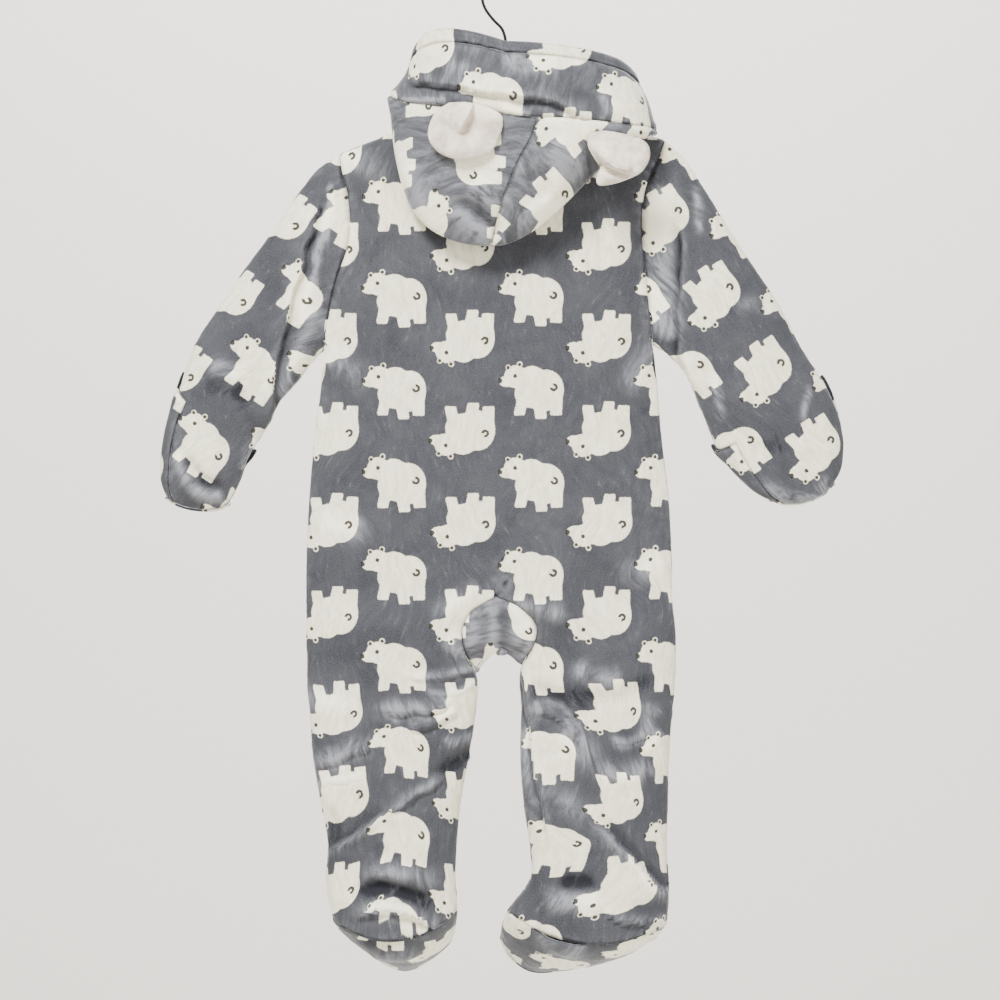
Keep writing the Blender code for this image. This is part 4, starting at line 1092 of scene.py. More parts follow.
# A column for each field of Form, from the neck down.
FORMS = tuple(Form(*row) for row in zip(
    (0.0, 5.0, 7.9, 11.5, 13.0, 14.0, 15.0, 15.5, 15.5, 16.0, 17.0, 18.0, 19.0, 20.0, 21.0, 21.0, 21.5, 22.0,
     23.0, 23.0, 22.0, 22.0, 24.0, 25.0),
    (0.0, 5.0, 7.9, 11.0, 12.0, 13.0, 14.0, 14.0, 14.0, 14.5, 15.0, 15.0, 16.0, 17.0, 18.0, 18.0, 19.0, 20.0,
     21.0, 22.0, 22.0, 23.0, 26.0, 30.0),
    (0.0, 4.6, 7.4, 10.0, 12.0, 12.0, 10.0, 5.0) + (0.0,) * 16,
    (0,) * 14 + (24, 40, 58) + (90,) * 7,
    (16.0, 16.0, 14.5, 7.0) + (0.0,) * 20,
    (1.0, 1.0, 1.0, 0.45, 0.15) + (0.0,) * 19,
    (18.0, 17.0, 16.0, 5.0) + (0.0,) * 20,
    (6.0,) * 13 + (0.0,) * 11,
    (0.0,) * 20 + (2.0, 4.0, 9.0, 20.0)))

# Inner x and z, then outer x and z, of each section.
LEFT_OUTLINE = (
    (-3.3, -136.1, -141.0, -168.1), (-3.3, -138.3, -141.0, -170.3), (-3.3, -143.5, -140.6, -175.5),
    (-3.3, -178.8, -134.5, -205.0), (-3.3, -219.8, -133.5, -240.3), (-3.3, -258.3, -144.0, -273.1),
    (-3.3, -289.5, -150.6, -299.3), (-3.3, -320.6, -153.6, -323.9), (-3.3, -327.2, -154.5, -330.5),
    (-3.3, -364.9, -158.3, -367.4), (-4.1, -402.6, -163.2, -404.3), (-4.9, -451.8, -167.3, -453.5),
    (-6.6, -499.4, -169.7, -502.7), (-13.1, -532.2, -169.7, -539.6), (-32.0, -543.5, -169.7, -556.0),
    (-40.2, -557.5, -169.7, -568.3), (-39.4, -576.5, -168.9, -584.7), (-29.5, -596.1, -168.9, -602.7),
    (-29.5, -627.3, -166.5, -631.4), (-34.4, -660.1, -164.0, -664.2), (-41.8, -701.9, -157.4, -704.4),
    (-45.1, -738.8, -151.5, -737.2), (-45.9, -766.7, -153.5, -766.7), (-44.3, -791.3, -148.4, -797.0),
)
RIGHT_OUTLINE = (
    (-3.3, -136.1, 125.5, -156.6), (-3.3, -138.3, 125.5, -158.8), (-3.3, -143.5, 123.8, -164.0),
    (-3.3, -178.8, 109.9, -196.8), (-3.3, -219.8, 106.6, -232.1), (-3.3, -258.3, 109.1, -266.5),
    (-3.3, -289.5, 112.3, -294.4), (-3.3, -320.6, 115.2, -319.0), (-3.3, -327.2, 116.0, -325.5),
    (-3.3, -364.9, 120.5, -364.9), (-4.1, -402.6, 123.8, -404.3), (-4.9, -451.8, 129.6, -453.5),
    (-6.6, -499.4, 132.0, -502.7), (-13.1, -532.2, 132.8, -539.6), (7.4, -541.5, 134.5, -554.3),
    (18.7, -555.1, 135.3, -569.9), (18.3, -570.7, 135.3, -586.3), (7.8, -590.4, 134.5, -605.2),
    (7.4, -625.7, 132.0, -631.4), (6.6, -660.1, 129.6, -664.2), (9.0, -701.9, 128.7, -704.4),
    (14.8, -742.1, 127.9, -740.5), (13.9, -766.7, 129.6, -771.6), (-4.1, -791.3, 127.9, -802.0),
)
HALF_COLUMNS = 7
NECK_COLUMN = 2
NECK_POINT_Z = -136.1
ARMHOLE_ROWS = 8
GUSSET_TOP_ROW = 13
GUSSET_TAIL_ROW = 17
VAMP_ROW = 21
HEEL_ROW = 23
CROTCH_ARCH = 14.0
FINE_STEP = 2.4


def section(outline: Sequence[float], form: Form, first: Sequence[float], face: Face, ks: np.ndarray) -> np.ndarray:
    """Points of one section of a half, from the centre line or inner seam to the side seam.

    Args:
        outline: inner x and z, outer x and z.
        form: its depths.
        first: the topmost section's outline.
        face: back or front.
        ks: columns where points are wanted.

    Returns:
        The points.
    """
    inner_x, inner_z, outer_x, outer_z = outline
    turn = math.radians(form.turn)
    neck = math.sin(math.pi / 2 * NECK_COLUMN / HALF_COLUMNS)
    lift = NECK_POINT_Z - (first[1] + (first[3] - first[1]) * neck)
    phi = -turn + (math.pi / 2 + turn) * ks / HALF_COLUMNS
    share = (np.sin(phi) + math.sin(turn)) / (1 + math.sin(turn))
    x = inner_x + (outer_x - inner_x) * share
    z = inner_z + (outer_z - inner_z) * share
    z = z + lift * form.lift * np.where(share < neck, share / neck, (1 - share) / (1 - neck))
    within = np.maximum(0.0, 1 - share / neck)
    around = np.maximum(0.0, np.cos(phi))
    if face is Face.FRONT:
        x = x + math.copysign(form.zip, outer_x - inner_x) * within
        z = z - form.scoop * within
    else:
        z = z - form.bow * around ** 2
    oval = (form.back if face is Face.BACK else form.front) * around ** (2 / 2.3)
    edge = form.edge * np.maximum(0.0, np.sin(phi))
    cowl = form.cowl * np.sqrt(np.maximum(0.0, 1 - np.minimum(1.0, share / neck) ** 2))
    return np.stack([x, face.value * np.sqrt(oval ** 2 + edge ** 2 + cowl ** 2), z], axis=1)


@dataclass
class SuitBody:
    """The torso and legs: one back, two fronts and the crotch gusset."""

    columns: int = 64
    front_columns: int = 44
    back_drape: Drape = field(default_factory=lambda: BACK_DRAPE)
    front_drape: Drape = field(default_factory=lambda: FRONT_DRAPE)
    print_lay: PrintLay = PrintLay(slips=BACK_SLIPS, tucks=BACK_TUCKS)
    front_print: PrintLay = PrintLay(shift=(30.0, 20.0), seen_from_front=True)
    gusset_print: PrintLay = PrintLay(turn=92.0, shift=(-22.0, 20.0))
    counts: list[int] = field(init=False, default_factory=list)
    grids: dict[tuple[str, Face], np.ndarray] = field(init=False, default_factory=dict)

    def __post_init__(self) -> None:
        """Lay the fine grids of all halves."""
        drops = np.array([[a[1], a[3], b[1], b[3]] for a, b in zip(LEFT_OUTLINE, RIGHT_OUTLINE)]).mean(axis=1)
        places = -drops
        self.counts = [max(5 if i < 3 else 4, round(gap / FINE_STEP)) for i, gap in enumerate(np.diff(places))]
        for name, outline in (("left", LEFT_OUTLINE), ("right", RIGHT_OUTLINE)):
            for face in Face:
                ks = self.ks(face)
                rows = np.stack([section(o, f, outline[0], face, ks) for o, f in zip(outline, FORMS)])
                self.grids[name, face] = loft(rows, places, self.counts)

    def ks(self, face: Face) -> np.ndarray:
        """The column places of one face, from 0 to HALF_COLUMNS."""
        return np.linspace(0, HALF_COLUMNS, (self.columns if face is Face.BACK else self.front_columns) + 1)

    def row_of(self, mark: int) -> int:
        """The number of the fine row at a given section."""
        return sum(self.counts[:mark])

    def middles(self, face: Face) -> np.ndarray:
        """The fine grid's column place that looks straight back or forwards, on each fine row."""
        turns = fine_rows([form.turn for form in FORMS], self.counts)
        return turns / (90 + turns) * (len(self.ks(face)) - 1)

    def patch(self, side: str, face: Face, first: int, last: int, lay: PrintLay) -> Patch:
        """A half's patch between two sections.

        Args:
            side: left or right.
            face: back or front.
            first: its first section.
            last: its last section.
            lay: how the print lies.

        Returns:
            The patch.
        """
        rows = slice(self.row_of(first), self.row_of(last) + 1)
        points = self.grids[side, face][rows]
        return Patch(points, lay.coordinates(points, self.middles(face)[rows]), (0, face.value, 0))

    def gusset_patch(self, face: Face) -> Patch:
        """The gusset's back or front half.

        Args:
            face: back or front.

        Returns:
            The patch.
        """
        rows = slice(self.row_of(GUSSET_TOP_ROW), self.row_of(GUSSET_TAIL_ROW) + 1)
        left, right = self.grids["left", face][rows, 0], self.grids["right", face][rows, 0]
        shares = np.linspace(0, 1, 25)[None, :, None]
        points = left[:, None] * (1 - shares) + right[:, None] * shares
        fullness = np.linspace(0, 1, len(points))[:, None]
        points[..., 2] += CROTCH_ARCH * fullness ** 3 * np.sin(math.pi * shares[..., 0])
        middle = np.full(len(points), 12.0)
        return Patch(points, self.gusset_print.coordinates(points, middle), (0, face.value, 0))

    def pieces(self) -> list[ClothPiece]:
        """The cut pieces.

        Returns:
            The back, the fronts and the gusset.
        """
        back = [self.patch(side, Face.BACK, 0, HEEL_ROW, self.print_lay) for side in ("left", "right")]
        made = [ClothPiece("back_cloth", back, self.back_drape, (0.36, 0.70), "back_panel",
                           ("hanger_bar", "front_left", "front_right"))]
        for side in ("left", "right"):
            front = [self.patch(side, Face.FRONT, 0, VAMP_ROW, self.front_print)]
            made.append(ClothPiece(f"front_cloth_{side}", front, self.front_drape, (0.19, 0.63), f"front_{side}",
                                   ("hanger_bar", "back_panel"), Roll(0.5, 3.5, 0.2)))
        halves = [self.gusset_patch(face) for face in Face]
        made.append(ClothPiece("gusset_cloth", halves, GUSSET_DRAPE, (0.075, 0.16), "crotch_gusset",
                               ("back_panel", "front_left", "front_right")))
        return made


# ------------------------------------------------------------------ sleeves and mitts
# top x and z, under x and z, back and front depth, blend to the sleeve's own oval, bow towards the tip.
LEFT_SLEEVE = (
    (-155.8, -177.0, -159.1, -336.2, 14.0, 13.0, 0.35, 0.0), (-173.8, -198.0, -168.9, -347.7, 16.0, 15.0, 0.8, 0.0),
    (-194.3, -228.0, -179.6, -360.8, 18.0, 16.0, 1.0, 0.0), (-218.9, -261.6, -191.1, -373.9, 18.0, 17.0, 1.0, 0.0),
    (-241.9, -295.2, -198.4, -390.3, 18.0, 17.0, 1.0, 1.0), (-260.8, -325.5, -206.6, -402.6, 17.0, 17.0, 1.0, 2.0),
    (-273.1, -360.0, -214.0, -414.1, 16.0, 16.0, 1.0, 4.0), (-282.9, -384.6, -218.9, -425.6, 16.0, 15.0, 1.0, 6.0),
    (-288.6, -414.1, -223.0, -437.1, 14.0, 13.0, 1.0, 8.0), (-288.6, -438.0, -229.1, -449.1, 9.0, 8.5, 1.0, 9.0),
    (-284.0, -450.5, -234.5, -457.0, 0.0, 0.0, 1.0, 9.0),
)
RIGHT_SLEEVE = (
    (137.8, -166.5, 121.4, -329.6, 14.0, 13.0, 0.35, 0.0), (155.8, -192.5, 131.2, -337.8, 16.0, 15.0, 0.8, 0.0),
    (176.3, -225.5, 141.9, -349.3, 18.0, 16.0, 1.0, 0.0), (198.4, -259.9, 148.4, -363.3, 18.0, 17.0, 1.0, 0.0),
    (219.8, -291.9, 154.2, -378.0, 18.0, 17.0, 1.0, 1.0), (238.6, -328.0, 160.7, -393.6, 17.0, 17.0, 1.0, 2.0),
    (258.3, -359.2, 168.1, -410.8, 16.0, 16.0, 1.0, 4.0), (269.8, -386.2, 177.0, -424.8, 16.0, 15.0, 1.0, 6.0),
    (273.1, -408.4, 188.5, -437.0, 14.0, 13.0, 1.0, 8.0), (269.5, -429.5, 203.5, -448.5, 9.0, 8.5, 1.0, 9.0),
    (262.0, -442.0, 215.5, -453.5, 0.0, 0.0, 1.0, 9.0),
)
WRIST_ROW = 6
STRIP_COLUMNS = 2
CUFF_START = 5.72         # section where the mitt's loose edge lies
STRIP_START = 6.13
CUFF_GAPE = 6.0
WRIST_GAPE = 3.0
MITT_CLEARANCE = CLOTH_WALL + 0.6
LOOSE_EDGE_LIFT = 2.4


@dataclass
class Sleeve:
    """One sleeve: back half, front half and the mitt's palm, whose edge wraps to the back."""

    side: str
    table: tuple[tuple[float, ...], ...]
    strip_first: bool
    body: SuitBody
    drape: Drape
    print_lay: PrintLay
    grids: dict[Face, np.ndarray] = field(init=False, default_factory=dict)
    counts: list[int] = field(init=False, default_factory=list)

    def __post_init__(self) -> None:
        """Lay the fine grids of both halves."""
        rows_at = np.array([[(row[0] + row[2]) / 2, (row[1] + row[3]) / 2] for row in self.table])
        first = self.body.grids[self.side, Face.BACK][:self.body.row_of(ARMHOLE_ROWS) + 1, -1]
        start = (first[0] + first[-1])[[0, 2]] / 2
        places = run_along(np.vstack([start, rows_at]))
        self.counts = [max(3, round(gap / FINE_STEP)) for gap in np.diff(places)]
        for face in Face:
            seam = self.body.grids[self.side, face][:self.body.row_of(ARMHOLE_ROWS) + 1, -1]
            rows = np.stack([seam] + [self.row(row, seam, face) for row in self.table])
            self.grids[face] = loft(rows, places, self.counts)

    @property
    def ks(self) -> np.ndarray:
        """Columns, as places along the armhole's sections."""
        return fine_rows(list(range(ARMHOLE_ROWS + 1)), self.body.counts[:ARMHOLE_ROWS])

    def row(self, numbers: Sequence[float], seam: np.ndarray, face: Face) -> np.ndarray:
        """Points of one section.

        Args:
            numbers: a row of the table.
            seam: the armhole's points.
            face: back or front.

        Returns:
            The points.
        """
        top_x, top_z, under_x, under_z, back, front, blend, bow = numbers
        top, across = np.array([top_x, 0, top_z]), np.array([under_x - top_x, 0, under_z - top_z])
        run = seam[-1] - seam[0]
        seam_share = (seam - seam[0]) @ run / (run @ run)
        phi = -math.pi / 2 + math.pi * self.ks / ARMHOLE_ROWS
        share = seam_share + ((1 + np.sin(phi)) / 2 - seam_share) * blend
        around = np.maximum(0.0, np.cos(phi))
        oval = (back if face is Face.BACK else front) * around ** (2 / 2.2)
        depth = np.abs(seam[:, 1]) + (oval - np.abs(seam[:, 1])) * blend
        side = -1 if top_x < 0 else 1
        tipwards = np.array([side * -across[2], 0, side * across[0]]) / np.linalg.norm(across)
        points = top + across * share[:, None] + tipwards * (bow * around)[:, None]
        points[:, 1] = face.value * depth
        return points

    def fine_place(self, mark: float) -> int:
        """The number of the fine row nearest to a place among the table's sections, the first being 0."""
        whole = int(mark) + 1
        return sum(self.counts[:whole]) + round((mark - int(mark)) * self.counts[whole])

    def swollen(self, points: np.ndarray, marks: np.ndarray, face: Face, palm: bool) -> np.ndarray:
        """Lift the mitt's palm off the sleeve.

        Args:
            points: a grid.
            marks: each row's place among the table's sections.
            face: back or front.
            palm: True for the palm, False for the strip that shows at the back.

        Returns:
            The lifted grid.
        """
        phi = -math.pi / 2 + math.pi * self.ks / ARMHOLE_ROWS
        across = points[:, -1] - points[:, 0]
        across = across / np.linalg.norm(across, axis=1, keepdims=True)
        around = np.maximum(0.0, np.cos(phi))
        outwards = across[:, None] * np.sin(phi)[None, :, None]
        outwards[..., 1] += face.value * around
        ends = ramp_up(WRIST_ROW + 1.1, WRIST_ROW + 0.1, marks)[:, None]
        if palm:
            gape = np.interp(marks, [CUFF_START, STRIP_START, WRIST_ROW + 1.0], [CUFF_GAPE, WRIST_GAPE, 0.0])
            size = MITT_CLEARANCE * ends + gape[:, None] * around
        else:
            edge = np.minimum(self.ks, ARMHOLE_ROWS - self.ks)
            size = MITT_CLEARANCE * ends * np.maximum(0.0, 1 - edge / STRIP_COLUMNS)
        lifted = points + outwards * size[..., None]
        if palm:
            loose = ramp_up(WRIST_ROW + 1.0, STRIP_START, marks)[:, None] * (1 - around) ** 2
            lifted[..., 1] += LOOSE_EDGE_LIFT * loose
        return lifted

    def pieces(self) -> list[ClothPiece]:
        """The cut pieces.

        Returns:
            The back half, the front half and the mitt.
        """
        back, front = self.grids[Face.BACK], self.grids[Face.FRONT]
        marks = fine_rows([-1.0] + [float(i) for i in range(len(self.table))], self.counts)
        middle = np.full(len(back), float(np.argmin(np.abs(self.ks - ARMHOLE_ROWS / 2))))
        prints = self.print_lay.coordinates(back, middle)
        front_lay = PrintLay(-self.print_lay.turn, (10.0, 30.0), True)
        front_prints = front_lay.coordinates(front, middle)
        wrist, start, cuff = self.fine_place(WRIST_ROW), self.fine_place(STRIP_START), self.fine_place(CUFF_START)
        near = int(np.argmin(np.abs(self.ks - STRIP_COLUMNS)))
        far = int(np.argmin(np.abs(self.ks - (ARMHOLE_ROWS - STRIP_COLUMNS))))
        kept, strip = (slice(near, None), slice(0, near + 1)) if self.strip_first else (slice(0, far + 1),
                                                                                         slice(far, None))
        hangs = ("hanger_bar", "back_panel")
        back_piece = ClothPiece(f"sleeve_back_cloth_{self.side}", [
            Patch(back[:start + 1], prints[:start + 1], (0, -1, 0)),
            Patch(back[start:, kept], prints[start:, kept], (0, -1, 0))], self.drape, (0.19, 0.34),
            f"sleeve_{self.side}_back", hangs)
        front_piece = ClothPiece(f"sleeve_front_cloth_{self.side}", [
            Patch(front[:wrist + 1], front_prints[:wrist + 1], (0, 1, 0))], SLEEVE_FRONT_DRAPE, (0.19, 0.24),
            f"sleeve_{self.side}_front", hangs)
        palm = self.swollen(front[cuff:], marks[cuff:], Face.FRONT, True)
        wrap = self.swollen(back[start:], marks[start:], Face.BACK, False)[:, strip]
        mitt = ClothPiece(f"mitt_cloth_{self.side}", [
            Patch(palm, front_prints[cuff:], (0, 1, 0)),
            Patch(wrap, prints[start:, strip] + 40.0, (0, -1, 0))], SLEEVE_FRONT_DRAPE, (0.12, 0.12),
            f"mitt_{self.side}", (f"sleeve_{self.side}_back",), Roll(0.8, 3.0, 0.25))
        return [back_piece, front_piece, mitt]


# ------------------------------------------------------------------ feet
# The toe seams by X and Z, inner side first.
LEFT_TOE = ((-46.6, -812.4), (-53.2, -824.9), (-68.3, -839.1), (-86.6, -848.3), (-103.3, -844.1), (-123.4, -828.3),
            (-139.2, -813.2))
RIGHT_TOE = ((-9.8, -808.2), (-9.0, -820.8), (0.2, -837.4), (18.5, -849.1), (46.1, -847.5), (82.0, -839.1),
            (112.0, -821.6))


@dataclass
class FootPart:
    """One foot: a sole that curves under from the heel to the toe, and an upper over the instep."""

    side: str
    body: SuitBody
    reach: float
    toe: tuple[tuple[float, float], ...]
    sole_drape: Drape

    def toe_line(self, ks: np.ndarray) -> np.ndarray:
        """The seam from one corner of the ankle to the other, round the toe.

        Args:
            ks: columns where points are wanted.

        Returns:
            The points.
        """
        corners = self.body.grids[self.side, Face.BACK][-1][[0, -1]][:, [0, 2]]
        way = smooth_way(np.vstack([corners[:1], self.toe, corners[1:]]), 12)
        lengths = run_along(way)
        run = ks / HALF_COLUMNS * lengths[-1]
        arch = np.maximum(0.0, np.sin(math.pi * ks / HALF_COLUMNS))
        return np.stack([np.interp(run, lengths, way[:, 0]), self.reach * arch ** 0.85,
                         np.interp(run, lengths, way[:, 1])], axis=1)

    def between(self, first: np.ndarray, last: np.ndarray, ks: np.ndarray, steps: int, crown: float,
                away: tuple[float, float, float]) -> np.ndarray:
        """Rows from one line to another, bulging between them.

        Args:
            first: the first line.
            last: the last line.
            ks: columns.
            steps: how many rows to add.
            crown: how far it bulges.
            away: which way.

        Returns:
            The grid.
        """
        share = np.linspace(0, 1, steps + 1)[:, None, None]
        way = np.array(away) / np.linalg.norm(away)
        bulge = np.sin(math.pi * share) * np.sin(math.pi * ks / HALF_COLUMNS)[None, :, None]
        return first[None] * (1 - share) + last[None] * share + way * crown * bulge

    def pieces(self) -> list[ClothPiece]:
        """The cut pieces.

        Returns:
            The sole and the upper.
        """
        ks, front_ks = self.body.ks(Face.BACK), self.body.ks(Face.FRONT)
        heel = self.body.grids[self.side, Face.BACK][-1]
        sole = self.between(heel, self.toe_line(ks), ks, 30, 5.0, (0, -0.4, -1))
        lay = PrintLay(turn=8.0, shift=(14.0, -6.0) if self.side == "left" else (-30.0, -44.0), by_arc=True)
        middle = np.full(len(sole), (len(ks) - 1) / 2)
        made = [ClothPiece(f"sole_cloth_{self.side}", [Patch(sole, lay.coordinates(sole, middle), (0, -0.4, -1))],
                           self.sole_drape, (0.14, 0.105), f"sole_{self.side}", ("back_panel",), Roll(1.4, 4.0, 0.5),
                           along_normal=True)]
        front = self.body.grids[self.side, Face.FRONT]
        instep = front[self.body.row_of(VAMP_ROW):]
        toe = self.between(instep[-1], self.toe_line(front_ks), front_ks, 22, 9.0, (0, 1, 0.3))
        whole = np.concatenate([instep, toe[1:]])
        middle = np.full(len(whole), (len(front_ks) - 1) / 2)
        lay = PrintLay(shift=(20.0, 10.0), seen_from_front=True, by_arc=True)
        made.append(ClothPiece(f"foot_upper_cloth_{self.side}", [
            Patch(whole, lay.coordinates(whole, middle), (0, 1, 0))], FRONT_DRAPE, (0.15, 0.12),
            f"foot_upper_{self.side}", ("back_panel",)))
        return made


# ------------------------------------------------------------------ hood
@dataclass(frozen=True)
class Ring:
    """One level of the hood, from the neck to the rim. Half widths, shift of the back, places and sharpness."""

    left: float
    right: float
    centre: float
    back_y: float
    side_y: float
    front_y: float
    back_z: float
    left_z: float
    right_z: float
    front_z: float
    round_left: float
    round_right: float
    fore: float
    tilt: float
    cling: float

    def points(self, angles: np.ndarray) -> np.ndarray:
        """Points by their angle from the centre back, positive to the right.

        Args:
            angles: in degrees.

        Returns:
            The points.
        """
        theta = np.radians(angles)
        back, front = np.maximum(0.0, np.cos(theta)), np.maximum(0.0, -np.cos(theta))
        rightwards = angles > 0
        half = np.where(rightwards, self.right, self.left)
        side_z = np.where(rightwards, self.right_z, self.left_z)
        x = self.centre * back + half * np.sin(theta)
        y = self.side_y + (self.back_y - self.side_y) * back ** 0.8 + (self.front_y - self.side_y) * front ** 0.7
        sharpness = np.where(rightwards, self.round_right, self.round_left)
        z = side_z + (self.back_z - side_z) * back ** sharpness + (self.front_z - side_z) * front ** self.fore
        corner = np.sin(2 * theta)
        z = z + np.where(back > 0, self.tilt * (CORNER_LIFT * np.abs(corner) - corner), 0.0)
        return np.stack([x, y, z], axis=1)


CORNER_LIFT = 0.9
NECK_RING = Ring(63.0, 52.6, -3.3, -16.0, 0.0, 16.0, -136.1, -136.1, -136.1, -154.1, 1, 1, 1.4, 0, 1.0)
HOOD_RINGS = tuple(Ring(*row) for row in (
    (63.5, 54.0, -3.0, -17.0, 0.0, 16.5, -131.5, -131.0, -131.0, -149.0, 1, 1, 1.4, 0, 1.0),
    (67.0, 57.0, -3.0, -20.5, -2.0, 17.0, -128.5, -128.0, -128.0, -145.0, 1, 1, 1.3, 0, 0.9),
    (71.0, 62.0, -3.0, -24.5, -4.0, 17.5, -131.0, -130.0, -130.0, -141.0, 1, 1, 1.2, 0, 0.8),
    (83.0, 84.0, -9.0, -26.0, -11.0, 18.0, -192.0, -137.0, -147.0, -137.0, 0.6, 1.8, 0.5, 0, 0.6),
    (92.0, 108.0, -17.0, -38.0, -14.0, 18.5, -247.5, -142.0, -158.0, -134.0, 0.55, 2.6, 0.45, 0, 0.45),
    (97.0, 112.0, -11.0, -55.0, -15.0, 19.0, -222.0, -137.0, -155.5, -131.0, 0.55, 2.2, 0.45, 0, 0.3),
    (100.0, 115.0, 2.0, -66.0, -16.0, 19.5, -188.0, -130.0, -153.5, -128.5, 0.6, 1.8, 0.45, 0, 0.2),
    (101.0, 116.0, 19.0, -74.0, -16.0, 20.0, -147.0, -122.0, -152.0, -126.0, 0.8, 5.0, 0.5, 2, 0.1),
    (93.0, 112.0, 10.0, -76.0, -16.0, 20.5, -130.0, -113.0, -133.0, -123.0, 1, 1, 0.6, 4, 0.0),
    (84.0, 106.0, -4.0, -71.0, -15.0, 21.0, -95.0, -102.0, -117.0, -120.0, 1, 1, 0.8, 6, 0.0),
    (81.0, 102.0, -5.0, -67.0, -14.0, 21.0, -85.0, -92.0, -106.0, -117.0, 1, 1, 0.9, 7, 0.0),
))
SEAM_RING = 8
HEM_RING = 10
NECK_STOPS = (-174.0, -138.0, -90.0, -42.0, 0.0)
SEAM_GAP = 0.3


@dataclass
class Hood:
    """The hood: two back halves, a brim and its turned hem."""

    drape: Drape
    brim_drape: Drape
    back_steps: int = 30
    front_steps: int = 11
    left_print: PrintLay = PrintLay(90.0, (10.3, 9.5))
    right_print: PrintLay = PrintLay(-45.0, (-18.7, 4.3))
    brim_print: PrintLay = PrintLay(0.0, (33.1, -6.0))
    grid: np.ndarray = field(init=False, default=None)
    counts: list[int] = field(init=False, default_factory=list)
    middle: int = field(init=False, default=0)

    def neck(self) -> tuple[np.ndarray, np.ndarray]:
        """The neckline from the left of the zip round the back to its right, and the angle at each point.

        Returns:
            The points and the angles.
        """
        points, angles = [], []
        for outline, sign in ((LEFT_OUTLINE, -1), (RIGHT_OUTLINE, 1)):
            half_points, half_angles = [], []
            for k in range(NECK_COLUMN):
                ks = k + np.arange(self.front_steps) / self.front_steps
                half_points.append(section(outline[0], FORMS[0], outline[0], Face.FRONT, ks))
                stop, following = NECK_STOPS[k], NECK_STOPS[k + 1]
                half_angles.append(stop + (following - stop) * (ks - k))
            for k in range(NECK_COLUMN, 0, -1):
                ks = k - np.arange(self.back_steps) / self.back_steps
                half_points.append(section(outline[0], FORMS[0], outline[0], Face.BACK, ks))
                stop, following = NECK_STOPS[4 - k], NECK_STOPS[5 - k]
                half_angles.append(stop + (following - stop) * (k - ks))
            line, turns = np.concatenate(half_points), np.concatenate(half_angles)
            if sign > 0:
                centre = section(outline[0], FORMS[0], outline[0], Face.BACK, np.array([0.0]))
                line, turns = np.concatenate([line, centre])[::-1], -np.concatenate([turns, [0.0]])[::-1]
            points.append(line)
            angles.append(turns)
        joined = np.concatenate(points)
        joined[:, 2] += SEAM_GAP
        return joined, np.concatenate(angles)

    def __post_init__(self) -> None:
        """Lay the fine grid of the whole hood."""
        points, angles = self.neck()
        departure = points - NECK_RING.points(angles)
        rows = np.stack([points] + [ring.points(angles) + departure * ring.cling for ring in HOOD_RINGS])
        behind = np.abs(angles) < 60
        gaps = np.linalg.norm(np.diff(rows[:, behind], axis=0), axis=2).mean(axis=1)
        self.counts = [max(3, round(gap / 2.6)) for gap in gaps]
        self.grid = loft(rows, np.concatenate([[0.0], np.cumsum(gaps)]), self.counts)
        self.middle = int(np.argmin(np.abs(angles)))

    def patch(self, first: int, last: int, columns: slice, lay: PrintLay, anchor: int) -> Patch:
        """A patch between two rings.

        Args:
            first: its first ring.
            last: its last ring.
            columns: its columns.
            lay: how the print lies.
            anchor: the column where the print is anchored, within the patch.

        Returns:
            The patch.
        """
        start, end = sum(self.counts[:first]), sum(self.counts[:last])
        points = self.grid[start:end + 1, columns]
        middle = np.full(len(points), float(anchor))
        probe = (len(points) - 12 if last == SEAM_RING else len(points) // 2,
                 min(max(anchor + (-4 if anchor else 4), 1), points.shape[1] - 2))
        return Patch(points, lay.coordinates(points, middle), (0, -1, 0), probe)

    def pieces(self) -> list[ClothPiece]:
        """The cut pieces.

        Returns:
            Both back halves, the brim and the hem.
        """
        last = self.grid.shape[1] - 1
        left = self.patch(0, SEAM_RING, slice(0, self.middle + 1), self.left_print, self.middle)
        right = self.patch(0, SEAM_RING, slice(self.middle, last + 1), self.right_print, 0)
        brim = self.patch(SEAM_RING, HEM_RING, slice(0, last + 1), self.brim_print, self.middle)
        hem = self.patch(HEM_RING, len(HOOD_RINGS), slice(0, last + 1), self.brim_print, self.middle)
        sewn = ("back_panel", "front_left", "front_right")
        return [ClothPiece("hood_cloth_left", [left], self.drape, (0.19, 0.18), "hood_back_left", sewn),
                ClothPiece("hood_cloth_right", [right], self.drape, (0.19, 0.18), "hood_back_right", sewn),
                ClothPiece("brim_cloth", [brim], self.brim_drape, (0.60, 0.065), "hood_brim",
                           ("hood_back_left", "hood_back_right")),
                ClothPiece("hem_cloth", [hem], Drape(sway=0.3), (0.55, 0.016), "hood_hem", ("hood_brim",),
                           Roll(1.3, 3.2, 0.3), wall=3.2)]


